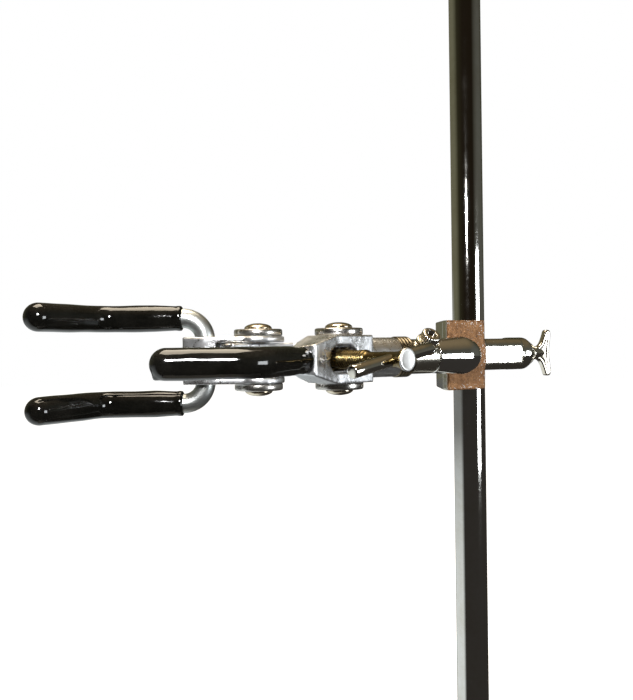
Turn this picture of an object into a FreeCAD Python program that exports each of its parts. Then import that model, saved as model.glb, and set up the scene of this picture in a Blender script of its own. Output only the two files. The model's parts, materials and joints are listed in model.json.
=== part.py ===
import FreeCAD, Part
import math
import os

# Retort stand with a swivelling three-prong clamp.
# Frame: millimetres, +Z up, origin at the centre of the stand's footprint, on the bench.
# The clamp's arm points to -X. The front (single-prong) jaw is on the -Y side of the arm.

V = FreeCAD.Vector
X_AXIS = V(1, 0, 0)
Y_AXIS = V(0, 1, 0)
Z_AXIS = V(0, 0, 1)

doc = FreeCAD.newDocument("RetortStand")

SIZES = {
    # stand
    "base_length": 250.0,
    "base_width": 160.0,
    "base_thickness": 12.0,
    "base_corner": 14.0,
    "base_edge": 2.5,
    "pad_diameter": 20.0,
    "pad_height": 4.0,
    "pad_inset": 20.0,
    "rod_diameter": 12.7,
    "rod_length": 600.0,
    "rod_offset": 80.0,
    "rod_chamfer": 1.0,
    "spigot_diameter": 10.0,
    "recess_diameter": 27.0,
    "recess_depth": 7.5,
    "nut_flats": 17.0,
    "nut_height": 5.5,
    "washer_diameter": 21.0,
    "washer_thickness": 1.6,
    # holder on the rod
    "clamp_height": 300.0,
    "block_left": 18.8,
    "block_right": 0.1,
    "lug_right": 3.0,
    "plate_edge": 1.6,
    "rear_slope": 30.0,
    "plate_thickness": 3.5,
    "pivot_boss": 12.0,
    "block_front": 11.0,
    "block_back": 12.0,
    "block_height": 27.0,
    "block_edge": 1.0,
    "rod_gap": 0.3,
    "saddle_gap": 0.6,
    "web_height": 12.6,
    "web_round": 3.5,
    "web_round_share": 0.9,
    "barrel_start": 10.2,
    "tip_clearance": 0.4,
    "tip_recess": 3.6,
    "boss_start": 19.3,
    "boss_length": 8.8,
    "boss_diameter": 13.5,
    "boss_nose": 4.0,
    "boss_nose_diameter": 9.0,
    "screw_diameter": 6.0,
    "running_gap": 0.05,
    "tip_diameter": 9.0,
    "tip_thickness": 2.6,
    "tip_pocket": 1.2,
    "neck_length": 3.0,
    "wing_length": 10.5,
    "wing_height": 20.5,
    "wing_thickness": 2.6,
    "wing_neck": 4.8,
    "wing_round": 1.1,
    # swivel socket
    "swivel_offset": 12.0,
    "swivel_gap": 0.1,
    "socket_flat": 5.4,
    "socket_mouth": 31.0,
    "socket_mouth_radius": 6.25,
    "socket_waist": 18.0,
    "socket_radius": 7.25,
    "socket_dome": 8.6,
    "spindle_gap": 0.05,
    "spindle_length": 15.0,
    "swivel_pin_diameter": 6.0,
    "swivel_pin_depth": 5.0,
    "swivel_nut_flats": 10.0,
    "swivel_nut_height": 5.0,
    # arm
    "arm_diameter": 12.6,
    "arm_bore": 9.5,
    "arm_mouth_gap": 0.3,
    "lock_offset": 36.2,
    "lock_angle": 45.0,
    "lock_diameter": 4.0,
    "lock_head_diameter": 7.0,
    "lock_head_height": 3.2,
    "lock_pad_height": 1.6,
    "lock_pad_rim": 0.6,
    "ring_start": 42.0,
    "ring_length": 5.5,
    "ring_wall": 1.0,
    "hub_start": 47.5,
    "hub_length": 16.4,
    "hub_wall": 0.7,
    "hub_shoulder": 0.6,
    "head_bore_depth": 9.0,
    # jaws, in their own frames: u runs forward from the pin, v runs outward
    "front_pin_offset": 72.8,
    "back_pin_offset": 96.7,
    "pin_side": 6.0,
    "front_open": 16.0,
    "back_open": 3.0,
    "tongue_height": 10.8,
    "tongue_radius": 6.3,
    "seat_wall": 1.4,
    "pin_diameter": 5.0,
    "flange_gap": 0.3,
    "flange_thickness": 2.0,
    "flange_radius": 8.6,
    "web_inner": 8.6,
    "web_thickness": 2.0,
    "cavity_end": 14.8,
    "disc_diameter": 16.0,
    "disc_thickness": 2.4,
    "disc_edge": 0.5,
    "dome_diameter": 9.2,
    "dome_height": 2.0,
    "slot_length": 13.0,
    "slot_height": 8.6,
    "screw_lever": 8.0,
    "trunnion_diameter": 9.0,
    "tee_diameter": 6.0,
    "tee_core_diameter": 5.0,
    "tee_core_end": 8.2,
    "tee_inner": 7.0,
    "tee_thread_end": 20.0,
    "tee_neck_diameter": 4.8,
    "tee_length": 36.3,
    "tee_flare_length": 4.0,
    "tee_flare_diameter": 7.0,
    "bar_diameter": 3.9,
    "bar_length": 35.5,
    "bar_chamfer": 0.3,
    "bar_place": 30.5,
    "bar_angle": 10.0,
    "front_bar_slide": 0.0,
    "back_bar_slide": 12.5,
    "window_gap": 0.8,
    "window_depth": 13.5,
    "thread_clearance": 0.1,
    # prongs
    "prong_bend": 21.0,
    "prong_start_u": 8.0,
    "prong_start_v": 2.1,
    "prong_diameter": 6.4,
    "sleeve_root": 16.5,
    "prong_kink": 43.2,
    "kink_angle": 57.0,
    "kink_radius": 9.0,
    "prong_tip": 28.3,
    "sleeve_wall": 1.2,
    "sleeve_root_wall": 0.75,
    "fork_spacing": 28.0,
    "fork_base": 9.1,
    "fork_radius": 7.2,
    "nose_taper_start": 11.0,
    "nose_tip_height": 8.4,
    "nose_rise": 10.5,
    "nose_gap": 0.4,
    "nose_margin": 0.1,
    "heel_inset": 1.0,
    "heel_chamfer": 2.5,
    "throat_length": 6.0,
    "throat_drop": 4.2,
    "waist_forward": 0.6,
    "waist_inward": 0.72,
    "rivet_diameter": 2.2,
    "rivet_head_diameter": 3.0,
    "rivet_head_height": 0.6,
    "rivet_depth": 6.0,
    "rivet_place": 18.2,
}

# Lengths worked out from the sizes above.
DERIVED = {
    "deck": "pad_height + base_thickness",
    "rod_radius": "rod_diameter / 2",
    "rod_top": "deck + rod_length",
    "arm_y": "-(block_front + swivel_gap + socket_flat)",
    "swivel_x": "rod_offset - swivel_offset",
    "spindle_diameter": "arm_bore - 2 * spindle_gap",
    "ring_diameter": "arm_diameter + 2 * ring_wall",
    "hub_diameter": "arm_diameter + 2 * hub_wall",
    "sleeve_diameter": "prong_diameter + 2 * sleeve_wall",
    "sleeve_root_diameter": "prong_diameter + 2 * sleeve_root_wall",
    "seat_radius": "trunnion_diameter / 2 + seat_wall",
    "flange_inner": "tongue_height / 2 + flange_gap",
    "flange_outer": "flange_inner + flange_thickness",
    "web_outer": "web_inner + web_thickness",
    "front_pin_x": "rod_offset - front_pin_offset",
    "front_pin_y": "arm_y - pin_side",
    "back_pin_x": "rod_offset - back_pin_offset",
    "back_pin_y": "arm_y + pin_side",
}

sheet = doc.addObject("Spreadsheet::Sheet", "Sizes")
row = 1
for alias, number in SIZES.items():
    sheet.set("A%d" % row, alias)
    sheet.set("B%d" % row, str(number))
    sheet.setAlias("B%d" % row, alias)
    row += 1
for alias, formula in DERIVED.items():
    sheet.set("A%d" % row, alias)
    sheet.set("B%d" % row, "=" + formula)
    sheet.setAlias("B%d" % row, alias)
    row += 1
doc.recompute()


def size(alias):
    """The number held in one cell of the sheet."""
    return float(sheet.get(alias))


def bind(obj, **formulas):
    """Binds properties to formulas on the sheet's cells: every name of a cell gets its sheet's name."""
    words = list(SIZES) + list(DERIVED)
    words.sort(key=len, reverse=True)
    for prop, formula in formulas.items():
        tokens = formula.replace("(", " ( ").replace(")", " ) ").split()
        tokens = ["Sizes." + token if token in words else token for token in tokens]
        path = {"px": ".Placement.Base.x", "py": ".Placement.Base.y", "pz": ".Placement.Base.z"}.get(prop, prop)
        obj.setExpression(path, " ".join(tokens))
    return obj


def turned(axis, degrees):
    """A placement that only turns."""
    return FreeCAD.Placement(V(0, 0, 0), FreeCAD.Rotation(axis, degrees))


ALONG_X = turned(Y_AXIS, 90)
ALONG_Y = turned(X_AXIS, -90)
ALONG_Z = turned(Z_AXIS, 0)


def cylinder(name, placement, radius, height, px="0", py="0", pz="0"):
    obj = doc.addObject("Part::Cylinder", name)
    obj.Placement = placement
    return bind(obj, Radius=radius, Height=height, px=px, py=py, pz=pz)


def cone(name, placement, radius_low, radius_high, height, px="0", py="0", pz="0"):
    obj = doc.addObject("Part::Cone", name)
    obj.Placement = placement
    return bind(obj, Radius1=radius_low, Radius2=radius_high, Height=height, px=px, py=py, pz=pz)


def box(name, length, width, height, px="0", py="0", pz="0"):
    obj = doc.addObject("Part::Box", name)
    return bind(obj, Length=length, Width=width, Height=height, px=px, py=py, pz=pz)


def prism(name, placement, flats, height, px="0", py="0", pz="0"):
    """A hexagon bar, given by its width across flats."""
    obj = doc.addObject("Part::Prism", name)
    obj.Polygon = 6
    obj.Placement = placement
    radius = "%s / %.6f" % (flats, 2 * math.cos(math.pi / 6))
    return bind(obj, Circumradius=radius, Height=height, px=px, py=py, pz=pz)


def dome(name, placement, radius, height, px="0", py="0", pz="0"):
    """Half an ellipsoid: round about its axis, with its flat side on the seat."""
    obj = doc.addObject("Part::Ellipsoid", name)
    obj.Placement = placement
    obj.Angle1 = 0
    return bind(obj, Radius1=height, Radius2=radius, Radius3=radius, px=px, py=py, pz=pz)


def fuse(name, *pieces):
    obj = doc.addObject("Part::MultiFuse", name)
    obj.Shapes = list(pieces)
    obj.Refine = True
    return obj


def cut(name, base, tool):
    obj = doc.addObject("Part::Cut", name)
    obj.Base = base
    obj.Tool = tool
    obj.Refine = True
    return obj


def group(name, pieces):
    """Separate equal solids held as one sub-part."""
    obj = doc.addObject("Part::Compound", name)
    obj.Links = pieces
    return obj


def edge_fillet(name, base, radius, chosen):
    """Rounds the edges that the test picks."""
    doc.recompute()
    obj = doc.addObject("Part::Fillet", name)
    obj.Base = base
    obj.Edges = [(i + 1, radius, radius) for i, edge in enumerate(base.Shape.Edges) if chosen(edge)]
    return obj


def outline_body(name, points, thickness, low):
    """A PartDesign body: a closed outline of straight sides, padded upward from a height."""
    body = doc.addObject("PartDesign::Body", name)
    sketch = body.newObject("Sketcher::SketchObject", name + "_outline")
    plane = [f for f in body.Origin.OriginFeatures if f.Role == "XY_Plane"][0]
    sketch.AttachmentSupport = [(plane, "")]
    sketch.MapMode = "FlatFace"
    count = len(points)
    for i in range(count):
        start = V(points[i][0], points[i][1], 0)
        end = V(points[(i + 1) % count][0], points[(i + 1) % count][1], 0)
        sketch.addGeometry(Part.LineSegment(start, end), False)
    pad = body.newObject("PartDesign::Pad", name + "_pad")
    pad.Profile = sketch
    bind(pad, Length=thickness)
    bind(sketch, **{".AttachmentOffset.Base.z": low})
    body.Tip = pad
    return body


def rounded_path(points, radii):
    """Straight runs joined by tangent arcs; radii has one value for each inner point."""
    edges = []
    start = points[0]
    for i in range(1, len(points) - 1):
        corner = points[i]
        back = (points[i - 1] - corner).normalize()
        ahead = (points[i + 1] - corner).normalize()
        half = back.getAngle(ahead) / 2
        reach = radii[i - 1] / math.tan(half)
        first = corner + back * reach
        last = corner + ahead * reach
        centre = corner + (back + ahead).normalize() * (radii[i - 1] / math.sin(half))
        middle = centre + (corner - centre).normalize() * radii[i - 1]
        edges.append(Part.LineSegment(start, first).toShape())
        edges.append(Part.Arc(first, middle, last).toShape())
        start = last
    edges.append(Part.LineSegment(start, points[-1]).toShape())
    return Part.Wire(edges)


def tube_along(path, diameter):
    """A round bar swept along a path of runs and arcs."""
    first = path.Edges[0]
    begin = first.Vertexes[0].Point
    heading = first.tangentAt(first.FirstParameter)
    ring = Part.Wire([Part.Circle(begin, heading, diameter / 2).toShape()])
    return path.makePipeShell([ring], True, True)


def prong_points(side_z):
    """Root, kink and tip of one prong's centre line, in the jaw's frame."""
    bend = math.radians(size("prong_bend"))
    inward = math.radians(size("prong_bend") - size("kink_angle"))
    root = V(size("prong_start_u"), size("prong_start_v"), side_z)
    along = V(math.cos(bend), math.sin(bend), 0)
    kink = root + along * size("prong_kink")
    tip = kink + V(math.cos(inward), math.sin(inward), 0) * (size("prong_tip") - size("sleeve_diameter") / 2)
    return root, along, kink, tip


def sleeve_shape(side_z):
    """A dipped vinyl sleeve: closed round the tip, slimmer and open at its root."""
    root, along, kink, tip = prong_points(side_z)
    start = root + along * size("sleeve_root")
    taper_end = root + along * (size("sleeve_root") + size("sleeve_diameter"))
    path = rounded_path([taper_end, kink, tip], [size("kink_radius")])
    skin = tube_along(path, size("sleeve_diameter"))
    cap = Part.makeSphere(size("sleeve_diameter") / 2, tip)
    collar = Part.makeCone(size("sleeve_root_diameter") / 2, size("sleeve_diameter") / 2,
                           (taper_end - start).Length, start, along)
    skin = skin.fuse([cap, collar]).removeSplitter()
    core_path = rounded_path([start - along, kink, tip], [size("kink_radius")])
    return skin.cut(tube_along(core_path, size("prong_diameter")))


JAWS = {
    "front": (V(size("front_pin_x"), size("front_pin_y"), size("clamp_height")),
              FreeCAD.Rotation(Z_AXIS, 180 + size("front_open"))),
    "back": (V(size("back_pin_x"), size("back_pin_y"), size("clamp_height")),
             FreeCAD.Rotation(Z_AXIS, 180 - size("back_open")) * FreeCAD.Rotation(X_AXIS, 180)),
}


def jaw_place(side):
    origin, rotation = JAWS[side]
    return FreeCAD.Placement(origin, rotation)


def set_in_jaw(obj, side):
    """Carries a piece from the jaw's own frame to its place on the clamp."""
    obj.Placement = jaw_place(side)
    return obj


def feature(name, shape, side):
    """A sub-part whose solid is swept or trimmed in the jaw's frame."""
    obj = doc.addObject("Part::Feature", name)
    obj.Shape = shape
    return set_in_jaw(obj, side)


NODES = []


def keep(obj, label):
    """Names a finished sub-part."""
    obj.Label = label
    NODES.append(obj)
    return obj


# ---- stand ----

def make_base():
    half_length = size("base_length") / 2
    half_width = size("base_width") / 2
    corners = [(-half_length, -half_width), (half_length, -half_width),
               (half_length, half_width), (-half_length, half_width)]
    slab = outline_body("base_slab", corners, "base_thickness", "pad_height")
    doc.recompute()
    upright = edge_fillet("base_round", slab, size("base_corner"),
                          lambda e: abs(e.tangentAt(e.FirstParameter).z) > 0.99)
    doc.recompute()
    deck = size("deck")
    eased = edge_fillet("base_eased", upright, size("base_edge"), lambda e: e.BoundBox.ZMin > deck - 0.01)
    hole = cylinder("base_hole", ALONG_Z, "spigot_diameter / 2", "base_thickness + 2",
                    px="rod_offset", pz="pad_height - 1")
    recess = cylinder("base_recess", ALONG_Z, "recess_diameter / 2", "recess_depth + 1",
                      px="rod_offset", pz="pad_height - 1")
    keep(cut("base_done", eased, fuse("base_voids", hole, recess)), "base_plate")


def make_feet():
    feet = []
    for i, (sx, sy) in enumerate([(-1, -1), (1, -1), (1, 1), (-1, 1)]):
        feet.append(cylinder("foot_%d" % i, ALONG_Z, "pad_diameter / 2", "pad_height",
                             px="%d * ( base_length / 2 - pad_inset )" % sx,
                             py="%d * ( base_width / 2 - pad_inset )" % sy))
    keep(group("feet_group", feet), "base_feet")


def make_rod():
    shaft = cylinder("rod_shaft", ALONG_Z, "rod_radius", "rod_length - rod_chamfer", px="rod_offset", pz="deck")
    crown = cone("rod_crown", ALONG_Z, "rod_radius", "rod_radius - rod_chamfer", "rod_chamfer",
                 px="rod_offset", pz="rod_top - rod_chamfer")
    spigot = cylinder("rod_spigot", ALONG_Z, "spigot_diameter / 2", "base_thickness - 0.5",
                      px="rod_offset", pz="pad_height + 0.5")
    keep(fuse("rod_done", shaft, crown, spigot), "upright_rod")
    seat = "pad_height + recess_depth - washer_thickness"
    disc = cylinder("washer_disc", ALONG_Z, "washer_diameter / 2", "washer_thickness", px="rod_offset", pz=seat)
    hole = cylinder("washer_hole", ALONG_Z, "spigot_diameter / 2", "washer_thickness", px="rod_offset", pz=seat)
    keep(cut("washer_done", disc, hole), "base_washer")
    low = seat + " - nut_height"
    hexagon = prism("nut_hex", ALONG_Z, "nut_flats", "nut_height", px="rod_offset", pz=low)
    bore = cylinder("nut_bore", ALONG_Z, "spigot_diameter / 2", "nut_height", px="rod_offset", pz=low)
    keep(cut("nut_done", hexagon, bore), "base_nut")


# ---- holder ----

def wing_outline(start, length, half_height, neck):
    """Half of the wing's outline, from its neck to its far edge: a flare with two rounded tips."""
    return [(start, neck), (start + 0.42 * length, 0.36 * half_height), (start + 0.70 * length, 0.94 * half_height),
            (start + 0.86 * length, half_height), (start + length, 0.86 * half_height)]


def make_holder():
    """A saddle on one side of the rod, a front plate that passes it, and a tapped barrel on the other side."""
    front = "-1 * block_front"
    block = box("holder_block", "block_left - block_right", "block_front + block_back", "block_height",
                px="rod_offset - block_left", py=front, pz="clamp_height - block_height / 2")
    right = size("rod_offset") - size("block_right")
    plate_edge = edge_fillet("holder_plate_edge", block, size("plate_edge"),
                             lambda e: abs(e.tangentAt(e.FirstParameter).z) > 0.99
                             and e.BoundBox.XMin > right - 0.01 and e.BoundBox.YMax < 0)
    half = size("rod_radius") + size("saddle_gap")
    apex = (size("rod_radius") + size("rod_gap")) * math.sqrt(2)
    middle = size("clamp_height")
    tall = size("block_height") + 2
    low = middle - tall / 2
    rod_x = size("rod_offset")
    left = rod_x - size("block_left")
    reach = size("block_back") + 1
    slope = math.tan(math.radians(size("rear_slope")))
    plate_back = -size("block_front") + size("plate_thickness")

    def upright_prism(points):
        corners = [V(x, y, low) for x, y in points]
        return Part.Face(Part.makePolygon(corners + [corners[0]])).extrude(V(0, 0, tall))

    vee = upright_prism([(rod_x - apex, 0), (rod_x - apex + half, -half), (rod_x + half, -half),
                         (rod_x + half, half), (rod_x - apex + half, half)])
    mouth = upright_prism([(rod_x - size("lug_right"), half - 1), (rod_x + half, half - 1), (rod_x + half, reach),
                           (rod_x - size("lug_right"), reach)])
    relief = upright_prism([(left - 1, plate_back), (left, plate_back),
                            (left + (reach - plate_back) * slope, reach), (left - 1, reach)])
    channel = doc.addObject("Part::Feature", "holder_channel")
    channel.Shape = vee.fuse([mouth, relief])
    saddle = cut("holder_saddle", plate_edge, channel)
    web_depth = "block_front - rod_radius - saddle_gap"
    web_start = "rod_offset - block_left / 2"
    web = box("holder_web", "block_left / 2 + boss_start", web_depth, "web_height",
              px=web_start, py=front, pz="clamp_height - web_height / 2")
    cheek = box("holder_cheek", "boss_start - barrel_start", "block_front", "web_height",
                px="rod_offset + barrel_start", py=front, pz="clamp_height - web_height / 2")
    doc.recompute()
    front_y = -size("block_front")
    web_wall = size("block_front") - size("rod_radius") - size("saddle_gap")
    round_limit = size("web_round_share") * web_wall
    rounded = [edge_fillet(piece.Name + "_round", piece, min(size("web_round"), round_limit),
                           lambda e: e.BoundBox.YMax < front_y + 0.01 and e.BoundBox.XLength > 1)
               for piece in (web, cheek)]
    barrel = cylinder("holder_barrel", ALONG_X, "web_height / 2", "boss_start - barrel_start",
                      px="rod_offset + barrel_start", pz="clamp_height")
    boss = cylinder("holder_boss", ALONG_X, "boss_diameter / 2", "boss_length",
                    px="rod_offset + boss_start", pz="clamp_height")
    nose = cone("holder_nose", ALONG_X, "boss_diameter / 2", "boss_nose_diameter / 2", "boss_nose",
                px="rod_offset + boss_start + boss_length", pz="clamp_height")
    pivot_boss = cylinder("holder_pivot_boss", ALONG_Y, "pivot_boss / 2", "block_front + block_back - plate_edge",
                          px="swivel_x", py="plate_edge - block_front", pz="clamp_height")
    trimmed_boss = cut("holder_pivot_trimmed", pivot_boss,
                       cylinder("holder_rod_room", ALONG_Z, "rod_radius + saddle_gap", "block_height",
                                px="rod_offset", pz="clamp_height - block_height / 2"))
    solid = fuse("holder_solid", saddle, barrel, boss, nose, trimmed_boss, *rounded)
    thread = cylinder("holder_thread", ALONG_X, "screw_diameter / 2 + running_gap",
                      "boss_start + boss_length + boss_nose", px="rod_offset + barrel_start - 1",
                      pz="clamp_height")
    recess = cylinder("holder_tip_recess", ALONG_X, "tip_diameter / 2 + tip_clearance", "tip_recess + 1",
                      px="rod_offset + barrel_start - 1", pz="clamp_height")
    pivot = cylinder("holder_pivot", ALONG_Y, "swivel_pin_diameter / 2 + running_gap",
                     "block_front + block_back + 2", px="swivel_x", py="-1 * block_front - 1",
                     pz="clamp_height")
    keep(cut("holder_done", solid, fuse("holder_holes", thread, recess, pivot)), "rod_holder")


def make_thumbscrew():
    tip_start = "rod_offset + rod_radius + rod_gap"
    disc = cylinder("tip_disc", ALONG_X, "tip_diameter / 2", "tip_thickness", px=tip_start, pz="clamp_height")
    pocket = cylinder("tip_bore", ALONG_X, "screw_diameter / 2 - 1 + running_gap", "tip_pocket",
                      px=tip_start + " + tip_thickness - tip_pocket", pz="clamp_height")
    keep(cut("tip_done", disc, pocket), "pressure_tip")
    spindle = cylinder("thumb_end", ALONG_X, "screw_diameter / 2 - 1", "tip_pocket + 1",
                       px=tip_start + " + tip_thickness - tip_pocket + running_gap", pz="clamp_height")
    stem_start = tip_start + " + tip_thickness + running_gap"
    stem_end = "rod_offset + boss_start + boss_length + boss_nose + neck_length"
    stem = cylinder("thumb_stem", ALONG_X, "screw_diameter / 2",
                    "%s - ( %s )" % (stem_end, stem_start), px=stem_start, pz="clamp_height")
    doc.recompute()
    start = stem.Placement.Base.x + float(stem.Height) - 1
    half_height = size("wing_height") / 2
    upper = wing_outline(start, size("wing_length"), half_height, size("wing_neck") / 2)
    points = upper + [(start + 0.84 * size("wing_length"), 0)] + [(x, -z) for x, z in reversed(upper)]
    corners = [V(x, -size("wing_thickness") / 2, size("clamp_height") + z) for x, z in points]
    blade = Part.Face(Part.makePolygon(corners + [corners[0]])).extrude(V(0, size("wing_thickness"), 0))
    sides = [e for e in blade.Edges if abs(e.tangentAt(e.FirstParameter).y) > 0.99]
    wing = doc.addObject("Part::Feature", "thumb_wing")
    wing.Shape = blade.makeFillet(size("wing_round"), sides)
    keep(fuse("thumb_done", spindle, stem, wing), "thumbscrew")


def make_socket():
    axis = {"py": "arm_y", "pz": "clamp_height"}
    body = cone("socket_body", ALONG_X, "socket_mouth_radius", "socket_radius", "socket_mouth - socket_waist",
                px="rod_offset - socket_mouth", **axis)
    end = dome("socket_end", ALONG_X, "socket_radius", "socket_dome", px="rod_offset - socket_waist", **axis)
    spindle = cylinder("socket_spindle", ALONG_X, "spindle_diameter / 2", "spindle_length + 1",
                       px="rod_offset - socket_mouth - spindle_length", **axis)
    solid = fuse("socket_solid", body, end, spindle)
    flat = box("socket_flat_cut", "socket_mouth", "socket_radius", "socket_radius * 3",
               px="rod_offset - socket_mouth", py="arm_y + socket_flat",
               pz="clamp_height - socket_radius * 1.5")
    pin_y = "arm_y + socket_flat - swivel_pin_depth"
    seat = cylinder("socket_seat", ALONG_Y, "swivel_pin_diameter / 2", "swivel_pin_depth + 1",
                    px="swivel_x", py=pin_y, pz="clamp_height")
    keep(cut("socket_done", solid, fuse("socket_voids", flat, seat)), "swivel_socket")
    pin_end = "block_back + swivel_gap + swivel_nut_height + 1.5"
    keep(cylinder("swivel_shank", ALONG_Y, "swivel_pin_diameter / 2", "%s - ( %s )" % (pin_end, pin_y),
                  px="swivel_x", py=pin_y, pz="clamp_height"), "swivel_pin")
    nut_y = "block_back + swivel_gap"
    hexagon = prism("swivel_hex", ALONG_Y, "swivel_nut_flats", "swivel_nut_height",
                    px="swivel_x", py=nut_y, pz="clamp_height")
    bore = cylinder("swivel_bore", ALONG_Y, "swivel_pin_diameter / 2", "swivel_nut_height",
                    px="swivel_x", py=nut_y, pz="clamp_height")
    keep(cut("swivel_nut_done", hexagon, bore), "swivel_nut")


# ---- arm and head ----

def make_arm():
    axis = {"py": "arm_y", "pz": "clamp_height"}
    end = "hub_start + head_bore_depth"
    length = "%s - socket_mouth - arm_mouth_gap" % end
    outer = cylinder("arm_outer", ALONG_X, "arm_diameter / 2", length, px="rod_offset - ( %s )" % end, **axis)
    lock_turned = turned(X_AXIS, size("lock_angle"))
    lean = math.radians(size("lock_angle"))

    def on_lock_axis(height):
        """Where a height above the arm's axis lies along the lock screw's leaning axis."""
        return {"px": "rod_offset - lock_offset", "py": "arm_y - ( %s ) * %.6f" % (height, math.sin(lean)),
                "pz": "clamp_height + ( %s ) * %.6f" % (height, math.cos(lean))}

    lug = cylinder("arm_lug", lock_turned, "lock_head_diameter / 2 + lock_pad_rim",
                   "arm_diameter / 2 + lock_pad_height", **on_lock_axis("0"))
    bore = cylinder("arm_inner", ALONG_X, "arm_bore / 2", length, px="rod_offset - ( %s )" % end, **axis)
    tapped = cylinder("arm_tapped", lock_turned, "lock_diameter / 2 + running_gap", "arm_diameter",
                      **on_lock_axis("0"))
    keep(cut("arm_done", fuse("arm_solid", outer, lug), fuse("arm_voids", bore, tapped)), "arm_tube")
    foot = "spindle_diameter / 2 + rod_gap"
    top = "arm_diameter / 2 + lock_pad_height + rod_gap"
    shank = cylinder("lock_shank", lock_turned, "lock_diameter / 2", "%s - ( %s ) + lock_head_height / 2" % (top, foot),
                     **on_lock_axis(foot))
    head = cylinder("lock_head", lock_turned, "lock_head_diameter / 2", "lock_head_height", **on_lock_axis(top))
    drive = prism("lock_drive", lock_turned, "lock_head_diameter / 2", "lock_head_height",
                  **on_lock_axis(top + " + lock_head_height / 2"))
    keep(cut("lock_done", fuse("lock_solid", shank, head), drive), "arm_lock_screw")
    ring = cylinder("ring_outer", ALONG_X, "ring_diameter / 2", "ring_length",
                    px="rod_offset - ring_start - ring_length", **axis)
    hole = cylinder("ring_inner", ALONG_X, "arm_diameter / 2", "ring_length",
                    px="rod_offset - ring_start - ring_length", **axis)
    keep(cut("ring_done", ring, hole), "arm_ring")


def jaw_point(side, forward, outward):
    return jaw_place(side).multVec(V(forward, outward, 0))


def make_head():
    """Hub round the arm, and the flat tongue that carries both pins and both trunnions."""
    low = "clamp_height - tongue_height / 2"
    height = size("tongue_height")
    centre_y = size("arm_y")
    reach = size("tongue_radius")
    seat = size("seat_radius")
    hub_end = size("rod_offset") - size("hub_start") - size("hub_length")
    front_pin = jaw_point("front", 0, 0)
    front_nut = jaw_point("front", size("screw_lever"), 0)
    back_pin = jaw_point("back", 0, 0)
    back_nut = jaw_point("back", size("screw_lever"), 0)
    half = size("hub_diameter") / 2 - size("hub_shoulder")
    outline = [(hub_end + 4, centre_y - half), (hub_end + 4, centre_y + half),
               (front_pin.x + reach, centre_y + half), (back_pin.x, back_pin.y + reach),
               (back_nut.x, back_nut.y + seat), (back_nut.x - seat * 0.6, centre_y),
               (back_pin.x, centre_y), (front_nut.x - seat, centre_y - 1),
               (front_nut.x - seat, front_nut.y), (front_nut.x, front_nut.y - seat),
               (front_pin.x, front_pin.y - reach)]
    tongue = outline_body("head_tongue", outline, "tongue_height", low)
    lobes = []
    for place, name, cell in ((front_pin, "front_eye", "tongue_radius"), (back_pin, "back_eye", "tongue_radius"),
                              (front_nut, "front_seat", "seat_radius"),
                              (back_nut, "back_seat", "seat_radius")):
        lobe = cylinder("head_" + name, ALONG_Z, cell, "tongue_height", pz=low)
        lobe.Placement.Base = V(place.x, place.y, 0)
        lobe.setExpression(".Placement.Base.x", None)
        lobe.setExpression(".Placement.Base.y", None)
        lobes.append(lobe)
    hub = cylinder("head_hub", ALONG_X, "hub_diameter / 2", "hub_length",
                   px="rod_offset - hub_start - hub_length", py="arm_y", pz="clamp_height")
    solid = fuse("head_solid", tongue, hub, *lobes)
    doc.recompute()
    voids = [cylinder("head_bore", ALONG_X, "arm_diameter / 2", "head_bore_depth + 1",
                      px="rod_offset - hub_start - head_bore_depth", py="arm_y", pz="clamp_height")]
    middle = size("clamp_height")
    for side, pin, nut in (("front", front_pin, front_nut), ("back", back_pin, back_nut)):
        shape = Part.makeCylinder(size("pin_diameter") / 2, height + 2, V(pin.x, pin.y, middle - height / 2 - 1))
        seat = Part.makeCylinder(size("trunnion_diameter") / 2 + size("running_gap"), height + 2,
                                 V(nut.x, nut.y, middle - height / 2 - 1))
        window_height = size("tee_diameter") + 2 * size("window_gap")
        window = []
        for swing in range(-20, 30, 5):
            slab = Part.makeBox(window_height, 60, window_height,
                                V(-window_height / 2, -30, -window_height / 2))
            slab.Placement = FreeCAD.Placement(nut, jaw_place(side).Rotation * FreeCAD.Rotation(Z_AXIS, swing),
                                               V(0, 0, 0)).multiply(slab.Placement)
            window.append(slab)
        holes = doc.addObject("Part::Feature", "head_holes_" + side)
        near = Part.makeCylinder(size("window_depth"), height + 2, V(nut.x, nut.y, middle - height / 2 - 1))
        holes.Shape = shape.fuse([seat, window[0].fuse(window[1:]).common(near)])
        voids.append(holes)
    keep(cut("head_done", solid, fuse("head_voids", *voids)), "clamp_head")


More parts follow.
